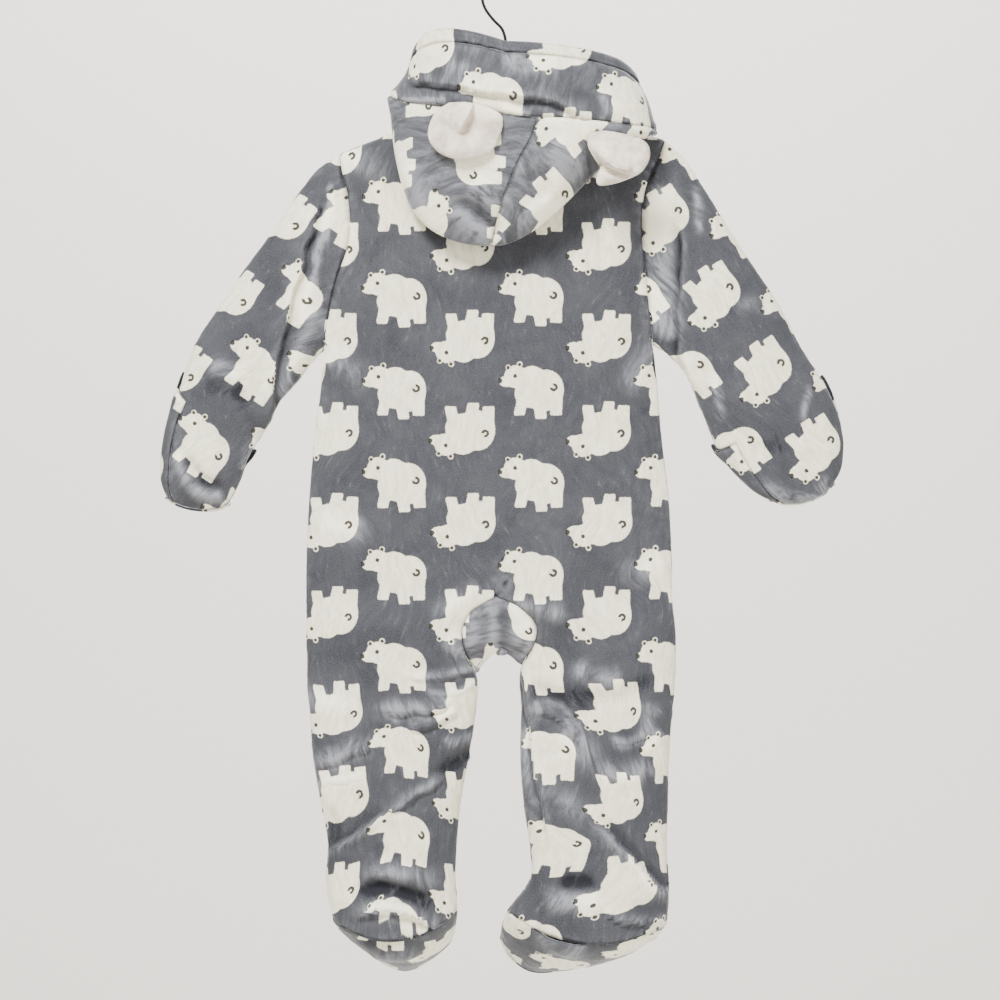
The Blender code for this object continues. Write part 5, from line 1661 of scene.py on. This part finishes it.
# ------------------------------------------------------------------ ears
@dataclass
class EarPad:
    """A padded ear that hangs from the brim seam: an outline, a crown, and folds."""

    side: str
    outline: tuple[float, ...]
    folds: tuple[Crease, ...]
    crown: float
    lift: float
    rings: int = 40
    around: int = 160

    def build(self, hood: Sequence[ClothPiece], finish: bpy.types.Material) -> None:
        """Make the ear on the hood's face.

        Args:
            hood: the cloth that it lies on.
            finish: its plush.
        """
        trees = [BVHTree.FromPolygons(piece.vertices.tolist(), piece.faces) for piece in hood]
        loop = smooth_way(np.reshape(self.outline + self.outline[:2], (-1, 2)), 12)[:-1]
        picks = np.linspace(0, len(loop), self.around, endpoint=False)
        closed = np.vstack([loop, loop[:1]])
        rim = np.stack([np.interp(picks, np.arange(len(closed)), closed[:, i]) for i in (0, 1)], axis=1)
        middle = rim.mean(axis=0)
        scales = np.sin(np.linspace(math.pi / 2, 0, self.rings + 1))
        levels = middle + (rim[None] - middle) * scales[:, None, None]
        spots = levels.reshape(-1, 2)
        seat = np.empty(len(spots))
        for number, (x, z) in enumerate(spots):
            hits = [tree.ray_cast(Vector((x, -400.0, z)), Vector((0, 1, 0)))[0] for tree in trees]
            depths = [hit.y for hit in hits if hit is not None]
            seat[number] = min(depths) if depths else np.nan
        seat = np.where(np.isnan(seat), np.nanmin(seat), seat)
        seat = seat.reshape(self.rings + 1, self.around)
        usual = seat[0].mean()
        even = usual + (seat[0] - usual)[None] * scales[:, None]
        seat = np.minimum(seat, 0.35 * even + 0.65 * seat.min()) - self.lift
        rise = np.zeros(len(spots))
        for fold in self.folds:
            rise += 1.5 * fold.lay(spots)[0]
        rise = rise.reshape(seat.shape)
        dome = self.crown * (1 - scales ** 2.6)[:, None] ** 0.5
        inside = (1 - scales ** 6)[:, None]
        outer_y = seat - 1.2 - dome - rise * inside
        outer = np.stack([levels[..., 0], outer_y, levels[..., 1]], axis=-1)
        inner = np.stack([levels[..., 0], seat, levels[..., 1]], axis=-1)
        places = np.concatenate([outer.reshape(-1, 3), inner.reshape(-1, 3)]) * MM
        faces, count = [], self.around
        for layer in (0, 1):
            start = layer * (self.rings + 1) * count
            for ring in range(self.rings):
                for k in range(count):
                    j = (k + 1) % count
                    a, b = start + ring * count + k, start + ring * count + j
                    cell = (a, b, b + count, a + count)
                    faces.append(cell if layer else cell[::-1])
        back = (self.rings + 1) * count
        faces += [(k, (k + 1) % count, back + (k + 1) % count, back + k) for k in range(count)]
        made = mesh_object(f"ear_pad_{self.side}", places, faces, (finish,))
        mesh = made.data
        shape = bmesh.new()
        shape.from_mesh(mesh)
        bmesh.ops.remove_doubles(shape, verts=shape.verts, dist=0.00002)
        bmesh.ops.recalc_face_normals(shape, faces=shape.faces)
        shape.to_mesh(mesh)
        shape.free()
        mesh.shade_smooth()
        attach(made, SUIT)
        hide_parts(f"ear_{self.side}")
        LOG.info("%s: %d faces", made.name, len(mesh.polygons))


# ------------------------------------------------------------------ zip
@dataclass
class Zip:
    """The zip down the front: two tapes and two rows of moulded teeth. Its slider and pull stay from the model."""

    body: SuitBody
    tape_half: float = 14.0
    tape_wall: float = 1.0
    below: float = 3.5
    pitch: float = 2.5
    tooth: tuple[float, float, float] = (3.0, 1.9, 1.25)

    def edges(self) -> tuple[np.ndarray, np.ndarray]:
        """The points of the left and the right front's edge beside the zip."""
        rows = self.body.row_of(GUSSET_TOP_ROW) - 2
        return tuple(self.body.grids[side, Face.FRONT][:rows, 0] for side in ("left", "right"))

    def tapes(self, finish: bpy.types.Material) -> None:
        """Make both tapes.

        Args:
            finish: the woven tape.
        """
        left, right = self.edges()
        middle = (left + right) / 2
        for side, edge in (("left", left), ("right", right)):
            next_points = self.body.grids[side, Face.FRONT][:len(edge), 6]
            reach = np.abs(edge[:, 0] - middle[:, 0])
            share = (self.tape_half - reach) / np.abs(next_points[:, 0] - edge[:, 0])
            far = edge + (next_points - edge) * share[:, None]
            columns = [middle + (edge - middle) * s for s in (0.08, 0.5, 1.0)]
            columns = [np.stack([c[:, 0], edge[:, 1], edge[:, 2]], axis=1) for c in columns] + [(edge + far) / 2, far]
            points = np.stack(columns, axis=1)
            points[..., 1] -= self.below
            lay = PrintLay(seen_from_front=True)
            piece = ClothPiece(f"zip_tape_cloth_{side}", [
                Patch(points, lay.coordinates(points, np.zeros(len(points))), (0, 1, 0))], Drape(sway=0.0),
                (0.015, 0.38), f"zip_tape_{side}", (f"front_{side}",), Roll(0.0, 2.0, 0.0), self.tape_wall,
                slot="zip_tape")
            piece.dress(piece.build(finish, finish))

    def teeth(self, finish: bpy.types.Material) -> None:
        """Model one tooth, and set copies of it along the zip, in one object.

        Args:
            finish: the moulded teeth.
        """
        bpy.ops.object.select_all(action="DESELECT")
        bpy.ops.mesh.primitive_cube_add(size=1.0, location=(0, 0, 0))
        tooth = bpy.context.object
        tooth.scale = tuple(s * MM for s in self.tooth)
        bpy.ops.object.transform_apply(location=True, rotation=True, scale=True)
        bpy.ops.object.mode_set(mode="EDIT")
        bpy.ops.mesh.select_all(action="SELECT")
        bpy.ops.mesh.bevel(offset=0.0003, segments=1)
        bpy.ops.object.mode_set(mode="OBJECT")
        points = np.array([v.co[:] for v in tooth.data.vertices])
        faces = [list(face.vertices) for face in tooth.data.polygons]
        bpy.data.objects.remove(tooth)
        left, right = self.edges()
        way = (left + right) / 2
        way[:, 1] -= self.below - 0.6
        lengths = run_along(way)
        spots, cells = [], []
        for number, run in enumerate(np.arange(3.0, lengths[-1] - 26.0, self.pitch / 2)):
            centre = np.array([np.interp(run, lengths, way[:, i]) for i in range(3)])
            ahead = np.array([np.interp(run + 1.0, lengths, way[:, i]) for i in range(3)])
            centre[0] += 0.9 if number % 2 else -0.9
            lean = math.atan2(ahead[1] - centre[1], centre[2] - ahead[2])
            turned = points @ np.array(Euler((-lean, 0, 0)).to_matrix()).T
            start = len(spots) * len(points)
            spots.append(turned + centre * MM)
            cells += [[start + v for v in face] for face in faces]
        made = mesh_object("zip_teeth", np.concatenate(spots), cells, (finish,))
        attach(made, SUIT)
        LOG.info("zip_teeth: %d teeth", len(spots))


# ------------------------------------------------------------------ folds seen on the suit
# Rows by the fields of Crease, each way by X and Z of its points in turn.
BACK_DRAPE = Drape(creases(
    # left leg
    ((-93.5, -594.5, -78.7, -598.6, -62.3, -599.4, -43.5, -595.3, -29.5, -592.0), 4.5, 1.9, 0.7, 0.5, 0.3, 0),
    ((-119.7, -624.0, -91.8, -626.5, -62.3, -624.0, -42.6, -617.5), 7.0, 2.4, 0.6, 0.9, 0.4, 0.2),
    ((-86.9, -642.1, -70.5, -638.0, -55.8, -630.6, -42.6, -627.3), 5.0, 2.2, 0.8, 0.5, 0.3, 0.1),
    ((-164.0, -671.6, -136.9, -663.4, -115.6, -655.2, -104.1, -650.3), 8.0, 1.8, 0.4, 0.7, 0, 0.4),
    ((-62.3, -683.9, -50.0, -672.4, -37.7, -662.6), 6.0, -2.2, 0, 0, 0.4, 0),
    ((-105.0, -711.8, -85.3, -698.6, -67.2, -688.0, -49.2, -676.5), 5.0, 2.2, 0.8, 0.4),
    ((-152.5, -742.1, -131.2, -729.0, -113.2, -715.9, -95.1, -704.4), 6.0, 2.6, -0.9, 0.2, 0),
    ((-168.9, -617.5, -149.2, -620.7, -131.2, -617.5), 9.0, 1.2, 0, 0.6, 0, 0.4),
    ((-59.0, -580.6, -46.7, -574.8, -32.8, -576.5), 9.0, 1.6, 0, 0.5, 0.4, 0),
    ((-149.2, -699.5, -144.3, -724.1, -149.2, -742.1), 4.0, -1.8, 0, 0, 0.3, 0.1),
    ((-75.4, -609.3, -59.0, -612.5, -41.0, -609.3, -31.2, -604.3), 3.0, 1.0, 0.5, 0.5, 0.3, 0, 1.2),
    ((-164.0, -691.3, -149.2, -684.7, -131.2, -683.1, -114.8, -676.5), 4.0, 1.2, 0.4, 0.8, 0, 0.3, 1.4),
    ((-59.0, -646.2, -46.7, -651.9, -36.1, -648.6), 4.0, 1.2, 0, 0.6, 0.3, 0),
    # right leg
    ((72.2, -647.0, 90.2, -651.9, 111.5, -645.3), 4.0, 1.1, 0.5, 0.6, 0.3, 0.1, 1.3),
    ((18.0, -617.5, 31.2, -622.4, 44.3, -620.7), 3.5, 1.0, 0.5, 0.5, 0.1, 0.3, 1.3),
    ((108.2, -660.1, 117.3, -651.9, 124.6, -642.1), 4.0, 1.0, 0, 0.7, 0.3, 0.1),
    ((14.8, -630.6, 25.4, -626.5, 39.4, -634.7, 55.8, -653.5, 65.6, -671.6, 68.1, -686.3), 8.0, 2.2, 0.4, 0.8, 0.1,
      0.4),
    ((10.7, -609.3, 41.0, -614.2, 65.6, -615.8, 90.2, -614.2, 118.1, -597.8), 8.0, -1.8, 0, 0, 0.1, 0.1),
    ((44.3, -591.2, 68.1, -597.0, 93.5, -601.9), 8.0, 1.4, 0, 0.7),
    ((117.3, -617.5, 111.5, -635.5, 113.2, -654.4), 7.0, 1.0, 0, 0.6),
    ((65.6, -669.9, 90.2, -679.8, 117.3, -669.9), 8.0, 1.5, 0, 0.6, 0.3, 0.1),
    ((6.6, -587.9, 10.7, -606.0, 13.1, -628.1, 15.6, -651.1, 18.0, -674.0, 23.0, -697.0, 27.1, -718.3, 31.2, -745.4),
      5.0, 1.7, 0.9, 0.1, 0.1, 0.2, 1.5),
    ((8.2, -627.3, 9.8, -654.4, 13.1, -691.3, 19.7, -728.2), 4.0, 0.4, 0, 0.6, 0.2, 0.2),
    ((23.0, -683.1, 45.9, -704.4, 65.6, -717.5), 9.0, 1.6, 0, 0.4),
    ((66.4, -712.6, 83.6, -730.6, 100.0, -748.7, 118.1, -768.3, 127.9, -774.9), 9.0, 3.6, -0.9, 0.3, 0.25, 0, 1.7),
    # ankles, just above the soles
    ((-131.2, -779.0, -119.7, -772.4, -104.1, -770.8, -87.7, -774.1, -70.5, -782.3, -60.7, -791.3), 6.5, -4.0, 0, 0,
      0.3, 0.25),
    ((-132.8, -796.2, -114.8, -788.8, -93.5, -788.8, -72.2, -797.0, -55.8, -807.7), 7.0, 3.4, 0.7, 0.5, 0.2, 0.2,
      1.8),
    ((-127.9, -763.4, -105.0, -758.5, -78.7, -761.8, -55.8, -770.0), 9.0, 2.0, 0, 0.5),
    ((68.9, -786.4, 88.6, -795.4, 109.1, -798.7, 127.9, -797.9), 4.0, 2.6, 0.9, 0.3, 0.25, 0),
    ((35.3, -766.7, 51.7, -768.3, 70.5, -765.1), 7.0, -2.6),
    ((23.0, -785.6, 39.4, -779.8, 59.0, -781.5, 77.1, -778.2), 8.0, 2.2, 0, 0.7),
    # torso and seat
    ((-149.2, -335.4, -131.2, -348.5, -114.8, -366.5), 9.0, 0.9, 0, 0.3, 0, 0.4),
    ((117.3, -332.1, 101.7, -348.5, 90.2, -369.8), 9.0, 0.9, 0, 0.3, 0, 0.4),
    ((-136.9, -166.5, -116.4, -181.2, -91.8, -187.8), 9.0, 1.0, 0, 0.3, 0, 0.4),
    ((-159.1, -469.9, -136.1, -476.4, -109.9, -473.1), 10.0, 1.0, 0, 0.4, 0.1, 0.4),
    ((127.9, -502.7, 105.0, -512.5, 82.0, -509.2), 10.0, 1.0, 0, 0.4, 0.1, 0.4),
    ((-34.4, -527.3, -50.8, -540.4, -62.3, -558.4), 7.0, 1.2, 0, 0.4, 0, 0.4),
    ((9.8, -540.4, 29.5, -545.3, 49.2, -542.0), 7.0, 1.3, 0, 0.5, 0, 0.4),
), sway=0.8)
FRONT_DRAPE = Drape(creases(
    ((-160.0, -640.0, -120.0, -652.0, -70.0, -648.0, -34.0, -640.0), 8.0, 2.2, 0.5, 0.6),
    ((-158.0, -700.0, -120.0, -706.0, -80.0, -698.0), 7.0, 2.2, 0.6, 0.6, 0, 0.4),
    ((-150.0, -745.0, -110.0, -730.0, -60.0, -728.0), 6.0, 2.0, -0.6, 0.4, 0),
    ((14.0, -660.0, 50.0, -652.0, 96.0, -662.0, 126.0, -676.0), 8.0, 2.0, 0.5, 0.6),
    ((12.0, -722.0, 48.0, -730.0, 90.0, -722.0), 7.0, 2.2, -0.6, 0.5, 0, 0.4),
    ((126.0, -745.0, 96.0, -752.0, 60.0, -742.0), 6.0, 2.0, 0.7, 0.4, 0),
    ((-150.0, -335.0, -120.0, -350.0, -92.0, -376.0), 9.0, 1.4, 0, 0.4, 0, 0.4),
    ((112.0, -330.0, 86.0, -350.0, 62.0, -380.0), 9.0, 1.4, 0, 0.4, 0, 0.4),
    ((-60.0, -540.0, -84.0, -560.0, -120.0, -566.0), 8.0, 1.6, 0, 0.5),
    ((40.0, -545.0, 70.0, -562.0, 104.0, -566.0), 8.0, 1.6, 0, 0.5),
), sway=0.9)
GUSSET_DRAPE = Drape(nap=0.3, sway=0.8, sway_length=18.0, strength=1.2, creases=creases(
    ((-7.4, -535.5, -5.7, -553.5, -7.4, -568.3, -9.8, -579.7), 3.5, -3.2, 0, 0, 0.3, 0),
    ((-16.4, -533.8, -14.8, -556.8, -13.1, -576.5), 4.0, 2.2, -0.6, 0.8, 0.3, 0),
    ((1.6, -540.4, 4.9, -558.4, 3.3, -574.8), 3.5, 1.8, 0.6, 0.8, 0.2, 0.1),
    ((11.5, -551.9, 13.1, -568.3, 9.8, -584.7), 3.0, 1.4, 0, 0.6, 0.2, 0.1),
    ((-31.2, -540.4, -31.2, -560.1, -34.4, -578.1), 5.0, 1.4, 0, 0.5, 0.2, 0.1),
))
LEFT_SLEEVE_DRAPE = Drape(creases(
    ((-154.2, -181.2, -156.6, -207.5, -166.5, -240.3, -175.5, -276.3, -185.3, -310.8, -192.7, -341.9, -196.8, -381.3),
      8.0, 1.6, -0.7, 0, 0.2, 0, 1.4),
    ((-147.6, -189.4, -150.9, -220.6, -158.3, -250.1, -165.6, -281.3, -173.0, -314.1), 3.0, 0.8, 0, 1.1, 0.1, 0.2),
    ((-159.1, -289.5, -164.0, -307.5, -173.8, -332.1, -183.7, -353.4, -187.0, -374.7), 7.0, 0.8, 0, 0.6, 0.2, 0.1),
    ((-256.7, -364.9, -241.1, -360.0, -224.7, -366.5, -214.8, -381.3), 8.0, -1.8),
    ((-250.9, -343.6, -236.2, -348.5, -223.0, -360.0), 8.0, 1.2, 0, 0.6),
    ((-278.0, -414.1, -269.8, -432.1, -257.5, -448.5, -234.5, -453.5), 4.2, 1.8, 0, 0.8, 0.1, 0.1),
    ((-270.6, -410.8, -262.4, -427.2, -249.3, -440.3, -229.6, -442.0), 5.0, -1.8),
    ((-208.3, -404.3, -214.8, -417.4, -219.8, -432.1), 5.0, 0.8, 0, 0.7, 0.1, 0.1),
), sway=0.9)
RIGHT_SLEEVE_DRAPE = Drape(creases(
    ((139.4, -211.6, 139.4, -258.3, 136.9, -289.5, 137.8, -323.1, 142.7, -348.5, 154.2, -371.5), 6.5, 2.0, 0.8, 0,
      0.25, 0.1, 1.4),
    ((123.0, -191.1, 121.4, -232.1, 124.6, -281.3, 127.9, -326.4), 9.0, 0.6, 0, 0.9, 0.1, 0.1),
    ((149.2, -191.1, 152.5, -214.0, 155.8, -240.3), 3.4, 1.0, 0, 0.6),
    ((164.8, -348.5, 168.1, -369.8, 173.0, -394.4), 3.6, 1.2, 0, 0.5),
    ((244.4, -356.7, 241.9, -373.1, 237.0, -392.8), 3.0, 1.2, 0, 0.6),
    ((189.4, -416.6, 209.9, -410.8, 228.0, -404.3), 9.0, -1.3),
    ((203.4, -443.6, 223.0, -451.8, 244.4, -451.8, 262.4, -437.1), 6.0, 1.5, 0, 0.6, 0.1, 0.1),
    ((182.9, -302.6, 193.5, -294.4, 207.5, -294.4), 6.0, 1.0, 0, 0.15),
), sway=0.9)
SLEEVE_FRONT_DRAPE = Drape(creases(
    ((-196.0, -250.0, -190.0, -290.0, -196.0, -340.0), 7.0, 2.0, 0.5, 0.5),
    ((-246.0, -330.0, -230.0, -352.0, -212.0, -372.0), 7.0, 1.6, -0.5, 0.5),
    ((168.0, -240.0, 160.0, -280.0, 166.0, -330.0), 7.0, 2.0, -0.5, 0.5),
    ((222.0, -320.0, 206.0, -345.0, 190.0, -368.0), 7.0, 1.6, 0.5, 0.5),
), sway=0.9)
LEFT_SOLE_DRAPE = Drape(creases(
    ((-131.2, -806.1, -111.5, -814.3, -91.8, -814.3, -70.5, -809.3), 5.0, -1.6),
    ((-119.7, -822.5, -100.0, -827.4, -75.4, -822.5), 7.0, 1.4, 0, 0.3),
), sway=0.9, sway_length=24.0)
RIGHT_SOLE_DRAPE = Drape(creases(
    ((14.8, -806.1, 36.1, -817.5, 64.0, -822.5), 7.0, 1.6, 0, 0.4),
    ((39.4, -802.0, 64.0, -810.2, 96.8, -812.6), 6.0, -1.4),
), sway=0.9, sway_length=24.0)
HOOD_DRAPE = Drape(nap=0.3, sway=0.9, sway_length=34.0, creases=creases(
    ((-45.2, -206.0, -37.2, -216.4, -24.3, -226.8, -9.8, -239.7), 6.5, -3.4, 0, 0, 0.35, 0.1),
    ((-51.6, -217.2, -40.4, -226.8, -27.5, -236.5, -17.9, -244.5), 7.0, 2.0, 0, 0.7, 0.3, 0.1),
    ((-33.9, -196.3, -19.5, -209.2, -8.2, -222.0), 8.0, 1.8, 0, 0.6),
    ((28.7, -164.2, 43.2, -181.8, 48.0, -204.3), 9.0, 1.6, 0, 0.8),
    ((14.3, -188.3, 22.3, -201.1, 19.1, -215.6), 8.0, -1.4),
    ((-88.6, -180.2, -80.6, -204.3, -70.9, -223.6), 8.0, 1.4, 0, 0.7, 0.2, 0.2),
    ((38.4, -201.1, 57.7, -193.1, 75.3, -183.5), 7.0, -1.2),
    ((-0.2, -230.1, 19.1, -222.0, 38.4, -209.2), 7.0, 1.2, 0, 0.6),
))
BRIM_DRAPE = Drape(nap=0.14, sway=0.9, sway_length=30.0, strength=2.0, creases=creases(
    ((-88.6, -112.7, -66.1, -117.6, -43.6, -121.6, -19.5, -128.0, 1.4, -131.2, 26.3, -132.0, 48.0, -141.7, 62.5,
      -153.7), 6.0, 3.2, 0.9, 0, 0.1, 0.15, 1.8),
    ((-91.8, -130.4, -74.1, -131.2, -53.2, -135.2), 2.6, 1.8, 0, 1.8, 0.2, 0.2),
    ((-9.8, -141.7, 6.2, -144.1, 16.7, -146.5), 3.0, 1.6, 0, 1.0, 0.2, 0.2),
    ((-93.4, -134.4, -74.1, -136.0, -53.2, -139.3, -25.9, -143.3, 6.2, -148.9, 54.4, -161.0, 80.2, -163.4), 5.0, -1.2,
      0, 0, 0, 0),
    ((-0.2, -107.9, 9.4, -108.7, 17.5, -109.5), 3.0, -2.0),
    ((-58.1, -101.5, -43.6, -107.9, -33.9, -114.3), 6.0, 1.4, 0, 0.6),
    ((70.5, -125.6, 80.2, -136.8, 85.0, -148.1), 7.0, 1.6, 0, 0.5),
    ((38.4, -125.6, 62.5, -132.0, 80.2, -144.9), 7.0, -1.5),
    ((-9.8, -101.5, 14.3, -104.7, 38.4, -103.1), 6.0, 1.0, 0, 0.9, 0.2, 0.2),
))
LEFT_EAR = EarPad("left", (-50.8, -135.2, -62.1, -143.3, -67.7, -160.1, -60.5, -173.8, -46.0, -180.2, -30.7, -180.2,
    -16.3, -173.8, -9.0, -159.3, -8.2, -146.5, -19.5, -139.3, -35.6, -135.2), creases(
    ((-30.7, -129.6, -33.1, -141.7, -38.0, -152.1, -45.2, -161.8), 12.0, 4.6, -0.7, 0, 0, 0.25, 1.3),
    ((-58.1, -169.0, -40.4, -174.6, -19.5, -169.8), 5.0, 1.0),
), 6.0, 1.0)
RIGHT_EAR = EarPad("right", (60.1, -161.0, 60.9, -170.6, 65.7, -179.4, 70.5, -186.7, 67.3, -194.7, 68.9, -201.1, 77.8,
    -201.1, 91.4, -197.1, 103.5, -190.7, 109.9, -180.2, 109.1, -169.8, 101.1, -163.4, 86.6, -159.3, 71.3,
    -157.7), creases(
    ((64.1, -178.6, 72.9, -183.5, 83.4, -189.1, 97.8, -192.3), 7.0, 5.0, 1.7, 0, 0, 0.2, 1.2),
    ((70.5, -195.5, 83.4, -194.7, 99.5, -189.9), 4.0, 1.8),
    ((80.2, -165.0, 88.2, -170.6, 97.8, -170.6), 4.0, 1.6, -0.6),
), 6.5, 1.0)


@dataclass
class Studio:
    """A pale wall and floor, soft even light, and the camera straight in front of the suit's back."""

    distance: float = 2.6
    plane_y: float = -0.01
    frame: float = 0.82
    centre: tuple[float, float] = (-0.0098, -0.4535)
    wall_y: float = 4.5
    floor_z: float = -1.9
    sensor: float = 36.0

    def build(self) -> None:
        """Set up everything."""
        camera = link_object("camera", bpy.data.cameras.new("camera"))
        camera.data.sensor_width = self.sensor
        camera.data.lens = self.sensor * self.distance / self.frame
        camera.location = (self.centre[0], self.plane_y - self.distance, self.centre[1])
        camera.rotation_euler = (math.pi / 2, 0, 0)
        bpy.context.scene.camera = camera
        paint = PALE_PAINT.make()
        for name, at, turn in (("backdrop", (0, self.wall_y, 0), math.pi / 2), ("floor", (0, 0, self.floor_z), 0.0)):
            bpy.ops.object.select_all(action="DESELECT")
            bpy.ops.mesh.primitive_plane_add(size=16.0, location=at, rotation=(turn, 0, 0))
            made = bpy.context.object
            made.name = name
            made.data.materials.append(paint)
        middle = (self.centre[0], 0, self.centre[1])
        for name, at, power, size, target in (
                ("key", (-0.9, -2.2, 1.7), 270.0, 0.9, middle), ("fill", (1.6, -2.7, -0.5), 70.0, 1.8, middle),
                ("front", (0.6, 3.2, 0.8), 150.0, 2.2, middle), ("wall", (0, 2.2, 3.0), 330.0, 2.0, (0, 4.5, -0.6))):
            light = link_object(name, bpy.data.lights.new(name, "AREA"))
            light.data.energy = power
            light.data.size = size
            light.location = at
            aim = Vector(target) - Vector(at)
            light.rotation_euler = aim.to_track_quat("-Z", "Y").to_euler()
        world = bpy.data.worlds.new("pale_room")
        world.use_nodes = True
        sky = world.node_tree.nodes["Background"].inputs
        sky["Color"].default_value, sky["Strength"].default_value = linear("#F1F0EE"), 0.85
        bpy.context.scene.world = world


def finish_model_nodes(nodes: dict[str, bpy.types.Object]) -> None:
    """Give the hard parts that stay from the model their finishes.

    Args:
        nodes: the model's objects by name.
    """
    for names, finish in ((("hanger_bar",), MOULDED_HIPS), (("hanger_hook",), COATED_WIRE),
                          (("zip_slider", "zip_pull"), PLATED_ZINC)):
        made = finish.make()
        for name in names:
            for number in range(len(nodes[name].material_slots)):
                nodes[name].material_slots[number].material = made
            LOG.info("%s: finished as %s", name, made.name)


def main() -> None:
    """Build the suit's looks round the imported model."""
    logging.basicConfig(level=logging.INFO, format="%(message)s")
    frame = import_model()
    Studio().build()
    plush, lining = PrintedPlush().make(), KNIT_BACK.make()
    body = SuitBody()
    pieces = body.pieces()
    for side, table, first, drape, lay in (
            ("left", LEFT_SLEEVE, True, LEFT_SLEEVE_DRAPE, PrintLay(35.0, (-8.6, -33.3),
                                                                         tucks=(LEFT_SLEEVE_TUCK,))),
            ("right", RIGHT_SLEEVE, False, RIGHT_SLEEVE_DRAPE, PrintLay(-34.0, (-13.7, 7.6)))):
        pieces += Sleeve(side, table, first, body, drape, lay).pieces()
    for side, toe, drape in (("left", LEFT_TOE, LEFT_SOLE_DRAPE), ("right", RIGHT_TOE, RIGHT_SOLE_DRAPE)):
        pieces += FootPart(side, body, 48.0, toe, drape).pieces()
    hood = Hood(HOOD_DRAPE, BRIM_DRAPE).pieces()
    for piece in pieces + hood:
        piece.dress(piece.build(plush, lining))
    cream = CreamPlush().make()
    for ear in (LEFT_EAR, RIGHT_EAR):
        ear.build(hood, cream)
    zip_fastener = Zip(body)
    zip_fastener.tapes(WOVEN_TAPE.make())
    zip_fastener.teeth(MOULDED_TEETH.make())
    finish_model_nodes(frame["nodes"])


if __name__ == "__main__":
    main()
